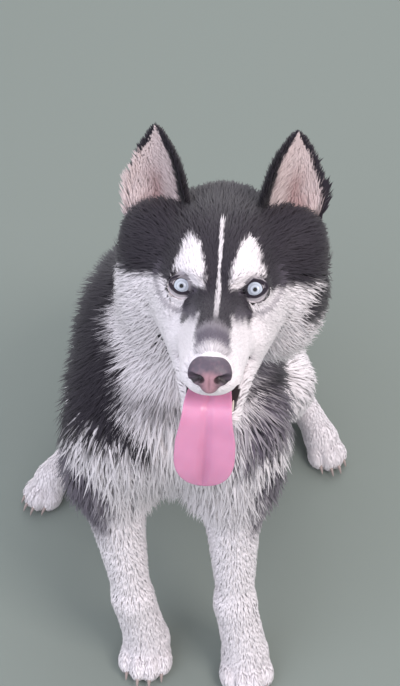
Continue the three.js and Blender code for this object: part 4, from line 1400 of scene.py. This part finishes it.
def blades(lines, grounds, width, thick):
    """Closed three-sided tufts on their middle lines: flat below, ridged above, drawn in to a point."""
    count, steps = len(lines), len(TUFT)
    ways = unit(np.gradient(lines, axis=1))
    across = unit(np.cross(grounds, ways))
    raised = unit(np.cross(ways, across))
    half = np.array([station[2] for station in TUFT])[None, :] * width[:, None] / 2
    deep = np.array([station[2] for station in TUFT])[None, :] * thick[:, None]
    middle, a, r = lines[:, :steps], across[:, :steps] * half[..., None], raised[:, :steps] * deep[..., None]
    rings = np.stack([middle - a - r * 0.3, middle + a - r * 0.3, middle + r * 0.7], axis=2)
    points = np.concatenate([rings.reshape(count, -1, 3), lines[:, -1:]], axis=1)
    corners = steps * 3 + 1
    faces = [(0, 2, 1)]
    for k in range(steps - 1):
        for j in range(3):
            n = (j + 1) % 3
            a0, b0, a1, b1 = 3 * k + j, 3 * k + n, 3 * k + 3 + j, 3 * k + 3 + n
            faces += [(a0, b0, b1), (a0, b1, a1)]
    for j in range(3):
        faces.append((3 * steps - 3 + j, 3 * steps - 3 + (j + 1) % 3, corners - 1))
    faces = np.array(faces)[None] + (np.arange(count) * corners)[:, None, None]
    run = np.append(np.repeat([station[0] for station in TUFT], 3), 1.0)
    sideways = np.append(np.tile([-0.5, 0.5, 0.0], steps), 0.0)
    return points.reshape(-1, 3), faces.reshape(-1, 3), run, sideways


PATCH = 0.003


# How far a tuft's shading follows the body under it instead of its own sides.
FOLLOW = 0.7


def coat_piece(name, material, slot, tufts, grounds, places, colours):
    """A mesh of tufts, with one colour a corner darkened towards the root as painted shade, soft normals and its
    patches on the OFBake map.
    """
    points, faces, run, sideways = tufts
    count, corners = len(places), len(run)
    mesh = bpy.data.meshes.new(name)
    mesh.vertices.add(len(points))
    mesh.vertices.foreach_set("co", in_metres(points).astype(np.float32).ravel())
    mesh.loops.add(faces.size)
    mesh.loops.foreach_set("vertex_index", faces.astype(np.int32).ravel())
    mesh.polygons.add(len(faces))
    mesh.polygons.foreach_set("loop_start", np.arange(0, faces.size, 3, dtype=np.int32))
    mesh.update(calc_edges=True)
    # Painted shade: each tuft is darker at its root, where the coat shades itself.
    shade = 0.86 + 0.14 * smooth(run, 0.0, 0.5)
    put_paint(mesh, (colours[:, None] * shade[None, :, None]).reshape(-1, 3))
    corner = np.stack([sideways * PATCH, (run - 0.5) * PATCH], axis=1)
    patches = np.clip(places, PATCH, 1 - PATCH)[:, None] + corner[None]
    layer = mesh.uv_layers.new(name="OFBake")
    layer.data.foreach_set("uv", patches.reshape(-1, 2)[faces.ravel()].astype(np.float32).ravel())
    piece = finish_piece(name, mesh, material, slot)
    own = np.empty(len(points) * 3, np.float32)
    mesh.vertex_normals.foreach_get("vector", own)
    below = np.concatenate([np.repeat(grounds[:, : len(TUFT)], 3, axis=1), grounds[:, -1:]], axis=1)
    mixed = unit(own.reshape(-1, 3) * (1 - FOLLOW) + below.reshape(-1, 3) * FOLLOW)
    mesh.normals_split_custom_set_from_vertices(mixed)
    return piece


def unwrapped(part, p):
    """Where points of a part's skin lie on its own unwrap: round its spine, and along it."""
    spine = PARTS[part][1]
    t = np.linspace(0, 1, 60)
    places, ways = curve(spine, t)
    near = ((p[:, None] - places[None]) ** 2).sum(2).argmin(1)
    away, way = p - places[near], ways[near]
    beyond = (away * way).sum(1)
    across = unit(np.array([1.0, 0, 0]) - way * way[:, :1])
    over = np.cross(way, across)
    angle = np.arctan2((away * over).sum(1), (away * across).sum(1)) / (2 * math.pi) + 0.5
    tilt = np.arctan2(beyond, np.linalg.norm(away - way * beyond[:, None], axis=1)) / (math.pi / 2)
    return np.stack([0.01 + 0.98 * angle, 0.5 + 0.35 * (t[near] - 0.5) * 2 + 0.14 * tilt], axis=1)


# Each coat piece: its part, the side it keeps to, how many tufts and how wide they are, in mm.
COATS = {
    "coat_head_left": ("head", "left", 19000, 1.7),
    "coat_head_right": ("head", "right", 19000, 1.7),
    "coat_jaw": ("jaw", None, 3500, 1.7),
    "coat_neck": ("neck", None, 16000, 2.9),
    "coat_trunk_left": ("trunk", "left", 16000, 3.1),
    "coat_trunk_right": ("trunk", "right", 16000, 3.1),
    "coat_tail": ("tail", None, 7000, 3.2),
    "coat_thigh_left": ("thigh_left", None, 5500, 2.9),
    "coat_thigh_right": ("thigh_right", None, 5500, 2.9),
    "coat_shank_left": ("shank_left", None, 2500, 2.6),
    "coat_shank_right": ("shank_right", None, 2500, 2.6),
    "coat_foreleg_left": ("foreleg_left", None, 6500, 2.3),
    "coat_foreleg_right": ("foreleg_right", None, 6500, 2.3),
    "coat_forepaw_left": ("forepaw_left", None, 2800, 1.8),
    "coat_forepaw_right": ("forepaw_right", None, 2800, 1.8),
    "coat_hindpaw_left": ("hindpaw_left", None, 2800, 1.8),
    "coat_hindpaw_right": ("hindpaw_right", None, 2800, 1.8),
}


def no_hair(p):
    """Where no tuft is rooted: round the eyes, under the nose pad, inside the mouth and on the floor."""
    side, ahead, up = HEAD.into(p).T
    low_side, low_ahead, low_up = JAW.into(p).T
    bare = p[:, 2] < 3
    for s in SIDES.values():
        bare |= past_lid(HEAD.into(p), s) < LINER[1] - 0.4
    bare |= np.linalg.norm((HEAD.into(p) - np.array((0, 102, -33))) / (21, 15, 15), axis=1) < 1
    bare |= (ahead > -20) & (up < -54) & (low_up > -40) & (np.abs(side) < 34)
    bare |= (low_ahead > -20) & (low_up > -57) & (up < -50) & (np.abs(low_side) < 26)
    return bare


class HUSKY_OT_coat(bpy.types.Operator):
    """Roots the coat's tufts on the skin of each part and combs them along the body"""

    bl_idname = "husky.coat"
    bl_label = "Coat"

    def execute(self, context):
        material = finish("guard hair of the coat", guard_hair)
        points, triangles = SKIN["points"], SKIN["triangles"]
        corners = points[triangles]
        middles = corners.mean(1)
        area = np.linalg.norm(np.cross(corners[:, 1] - corners[:, 0], corners[:, 2] - corners[:, 0]), axis=1) / 2
        nearest = part_distances(middles).argmin(1)
        bare = no_hair(middles)
        for seed, (name, (part, half, count, width)) in enumerate(COATS.items()):
            draw = np.random.default_rng(seed + 11)
            weights = area * (nearest == PART_NAMES.index(part)) * ~bare
            if half:
                axis = CHEST_X * 0.5 + RUMP_X * 0.5 if part == "trunk" else EYES[0]
                weights = weights * ((middles[:, 0] > axis) == (half == "left"))
            if part == "head":
                weights = weights * (1 + 1.5 * smooth(HEAD.into(middles)[:, 1], -40, 20))
            if context.scene.husky_sizes.coat_share < 1:
                count = int(count * min(context.scene.husky_sizes.coat_share, 1))
            roots = thin_to_even(points, triangles, weights, count, draw)
            ways, depth = coat_at(roots)
            vary = 0.8 + 0.4 * draw.random(count)
            length = (3.5 + 1.65 * depth) * vary
            depth = depth * (0.55 + 0.45 * draw.random(count))
            bend = (draw.random(count) - 0.5) * 0.7
            if part == "head":
                bend = bend * (0.2 + 0.8 * smooth(np.abs(HEAD.into(roots)[:, 0]), 3, 14))
            lines, grounds = comb(roots, ways, length, depth, bend)
            wide = width * (0.75 + 0.5 * draw.random(count))
            seen = roots + ways * (SEEN * length)[:, None]
            tone = markings(seen, part_distances(roots)) * (0.93 + 0.1 * draw.random((count, 1)))
            tufts = blades(lines, grounds, wide, wide * 0.3)
            slot = "coat_black" if part in ("trunk", "tail") else "coat_white"
            coat_piece(name, material, slot, tufts, grounds, unwrapped(part, roots), tone)
        for seed, (name, s) in enumerate(SIDES.items()):
            draw = np.random.default_rng(seed + 71)
            lines, grounds, places, tone = ear_coat(s, draw)
            wide = 1.5 * (0.75 + 0.5 * draw.random(len(lines)))
            tufts = blades(lines, grounds, wide, wide * 0.3)
            coat_piece(f"coat_ear_{name}", material, "coat_black", tufts, grounds, places, tone)
        return {"FINISHED"}


class HUSKY_OT_stage(bpy.types.Operator):
    """Lays the floor and places the lights and the photograph's camera"""

    bl_idname = "husky.stage"
    bl_label = "Stage"

    def execute(self, context):
        scene = context.scene
        size = 12.0
        mesh = bpy.data.meshes.new("floor")
        corners = [(-size, -size, 0), (size, -size, 0), (size, size, 0), (-size, size, 0)]
        mesh.from_pydata(corners, [], [(0, 1, 2, 3)])
        mesh.materials.append(finish("pale floor paint", floor_paint))
        floor = bpy.data.objects.new("floor", mesh)
        scene.collection.objects.link(floor)
        world = bpy.data.worlds.new("studio")
        world.use_nodes = True
        world.node_tree.nodes["Background"].inputs["Color"].default_value = (*linear(0xEDEEF2), 1)
        world.node_tree.nodes["Background"].inputs["Strength"].default_value = 1.15
        scene.world = world
        scene.view_settings.view_transform = "Standard"
        for name, place, size, power, colour in (
            ("key", (1.7, -1.6, 2.5), 1.3, 44, 0xFFF6EE),
            ("fill", (-1.7, -1.5, 1.8), 2.2, 26, 0xE8EEFF),
            ("rim", (0.5, 2.2, 2.4), 1.6, 26, 0xFFFFFF),
        ):
            light = bpy.data.lights.new(name, "AREA")
            light.size, light.energy, light.color = size, power, linear(colour)
            lamp = bpy.data.objects.new(name, light)
            lamp.location = place
            lamp.rotation_euler = (Vector((0, -0.1, 0.35)) - Vector(place)).to_track_quat("-Z", "Y").to_euler()
            scene.collection.objects.link(lamp)
        camera = bpy.data.cameras.new("camera")
        camera.sensor_fit = "VERTICAL"
        camera.sensor_height = 24.0
        camera.lens = CAMERA_FOCAL_PX / PICTURE_HEIGHT_PX * camera.sensor_height
        camera.clip_end = 50.0
        seen = bpy.data.objects.new("camera", camera)
        seen.location = in_metres(CAMERA_PLACE)
        seen.rotation_euler = (math.radians(90 - CAMERA_PITCH), 0, 0)
        scene.collection.objects.link(seen)
        scene.camera = seen
        return {"FINISHED"}


class HuskySizes(bpy.types.PropertyGroup):
    """Sizes in millimetres."""

    skin_grain: FloatProperty(name="Skin grain", description="Side of the skin's squares, in mm", default=3.52, min=2)
    coat_share: FloatProperty(name="Coat", description="Share of the coat's tufts that are made", default=1, max=1)


def hex_colour(name, description, value):
    """A colour setting whose default is given as 0xRRGGBB."""
    return FloatVectorProperty(name=name, description=description, subtype="COLOR", size=3, default=linear(value))


class HuskyColours(bpy.types.PropertyGroup):
    """Colours of the coat."""

    white: hex_colour("White", "The coat's white ground", 0xF6EEF4)
    black: hex_colour("Black", "The cap, back and ear rims", 0x2C2630)
    grey: hex_colour("Grey", "The shading between black and white", 0x625A68)
    ear_cup: hex_colour("Ear cup", "Hair inside the ears", 0xE2CFD0)
    ear_flush: hex_colour("Ear flush", "Bare skin deep in the ears", 0xA97F80)
    lips: hex_colour("Lips", "Bare skin along the mouth and round the eyes", 0x2A2226)
    gums: hex_colour("Gums", "The inside of the mouth", 0xB06F86)
    iris: hex_colour("Iris", "The pale ring of the eyes", 0xBAC0CF)
    sclera: hex_colour("Sclera", "The white of the eyes", 0xB9AEB6)
    nose: hex_colour("Nose", "Nose leather", 0x574C5A)
    nose_pink: hex_colour("Nose middle", "The faded middle of the nose", 0xB48894)
    tongue: hex_colour("Tongue", "The tongue", 0xE098BC)
    # The colour of the painted shade down the middle of the tongue.
    tongue_shaded: hex_colour("Tongue, deep", "The shaded middle of the tongue", 0xC67FA2)


class HUSKY_PT_panel(bpy.types.Panel):
    """Lists the operators in the order in which they run"""

    bl_label = "Husky"
    bl_space_type = "VIEW_3D"
    bl_region_type = "UI"
    bl_category = "Husky"

    def draw(self, context):
        for step in STEPS:
            self.layout.operator(step.bl_idname)


STEPS = (HUSKY_OT_skin, HUSKY_OT_face, HUSKY_OT_claws, HUSKY_OT_collar, HUSKY_OT_coat, HUSKY_OT_stage)
CLASSES = (HuskySizes, HuskyColours, *STEPS, HUSKY_PT_panel)


def register():
    for cls in CLASSES:
        bpy.utils.register_class(cls)
    bpy.types.Scene.husky_sizes = PointerProperty(type=HuskySizes)
    bpy.types.Scene.husky_colours = PointerProperty(type=HuskyColours)


def unregister():
    del bpy.types.Scene.husky_colours
    del bpy.types.Scene.husky_sizes
    for cls in reversed(CLASSES):
        bpy.utils.unregister_class(cls)


def main():
    """Runs every step."""
    register()
    for step in STEPS:
        group, name = step.bl_idname.split(".")
        getattr(getattr(bpy.ops, group), name)()


if __name__ == "__main__":
    main()
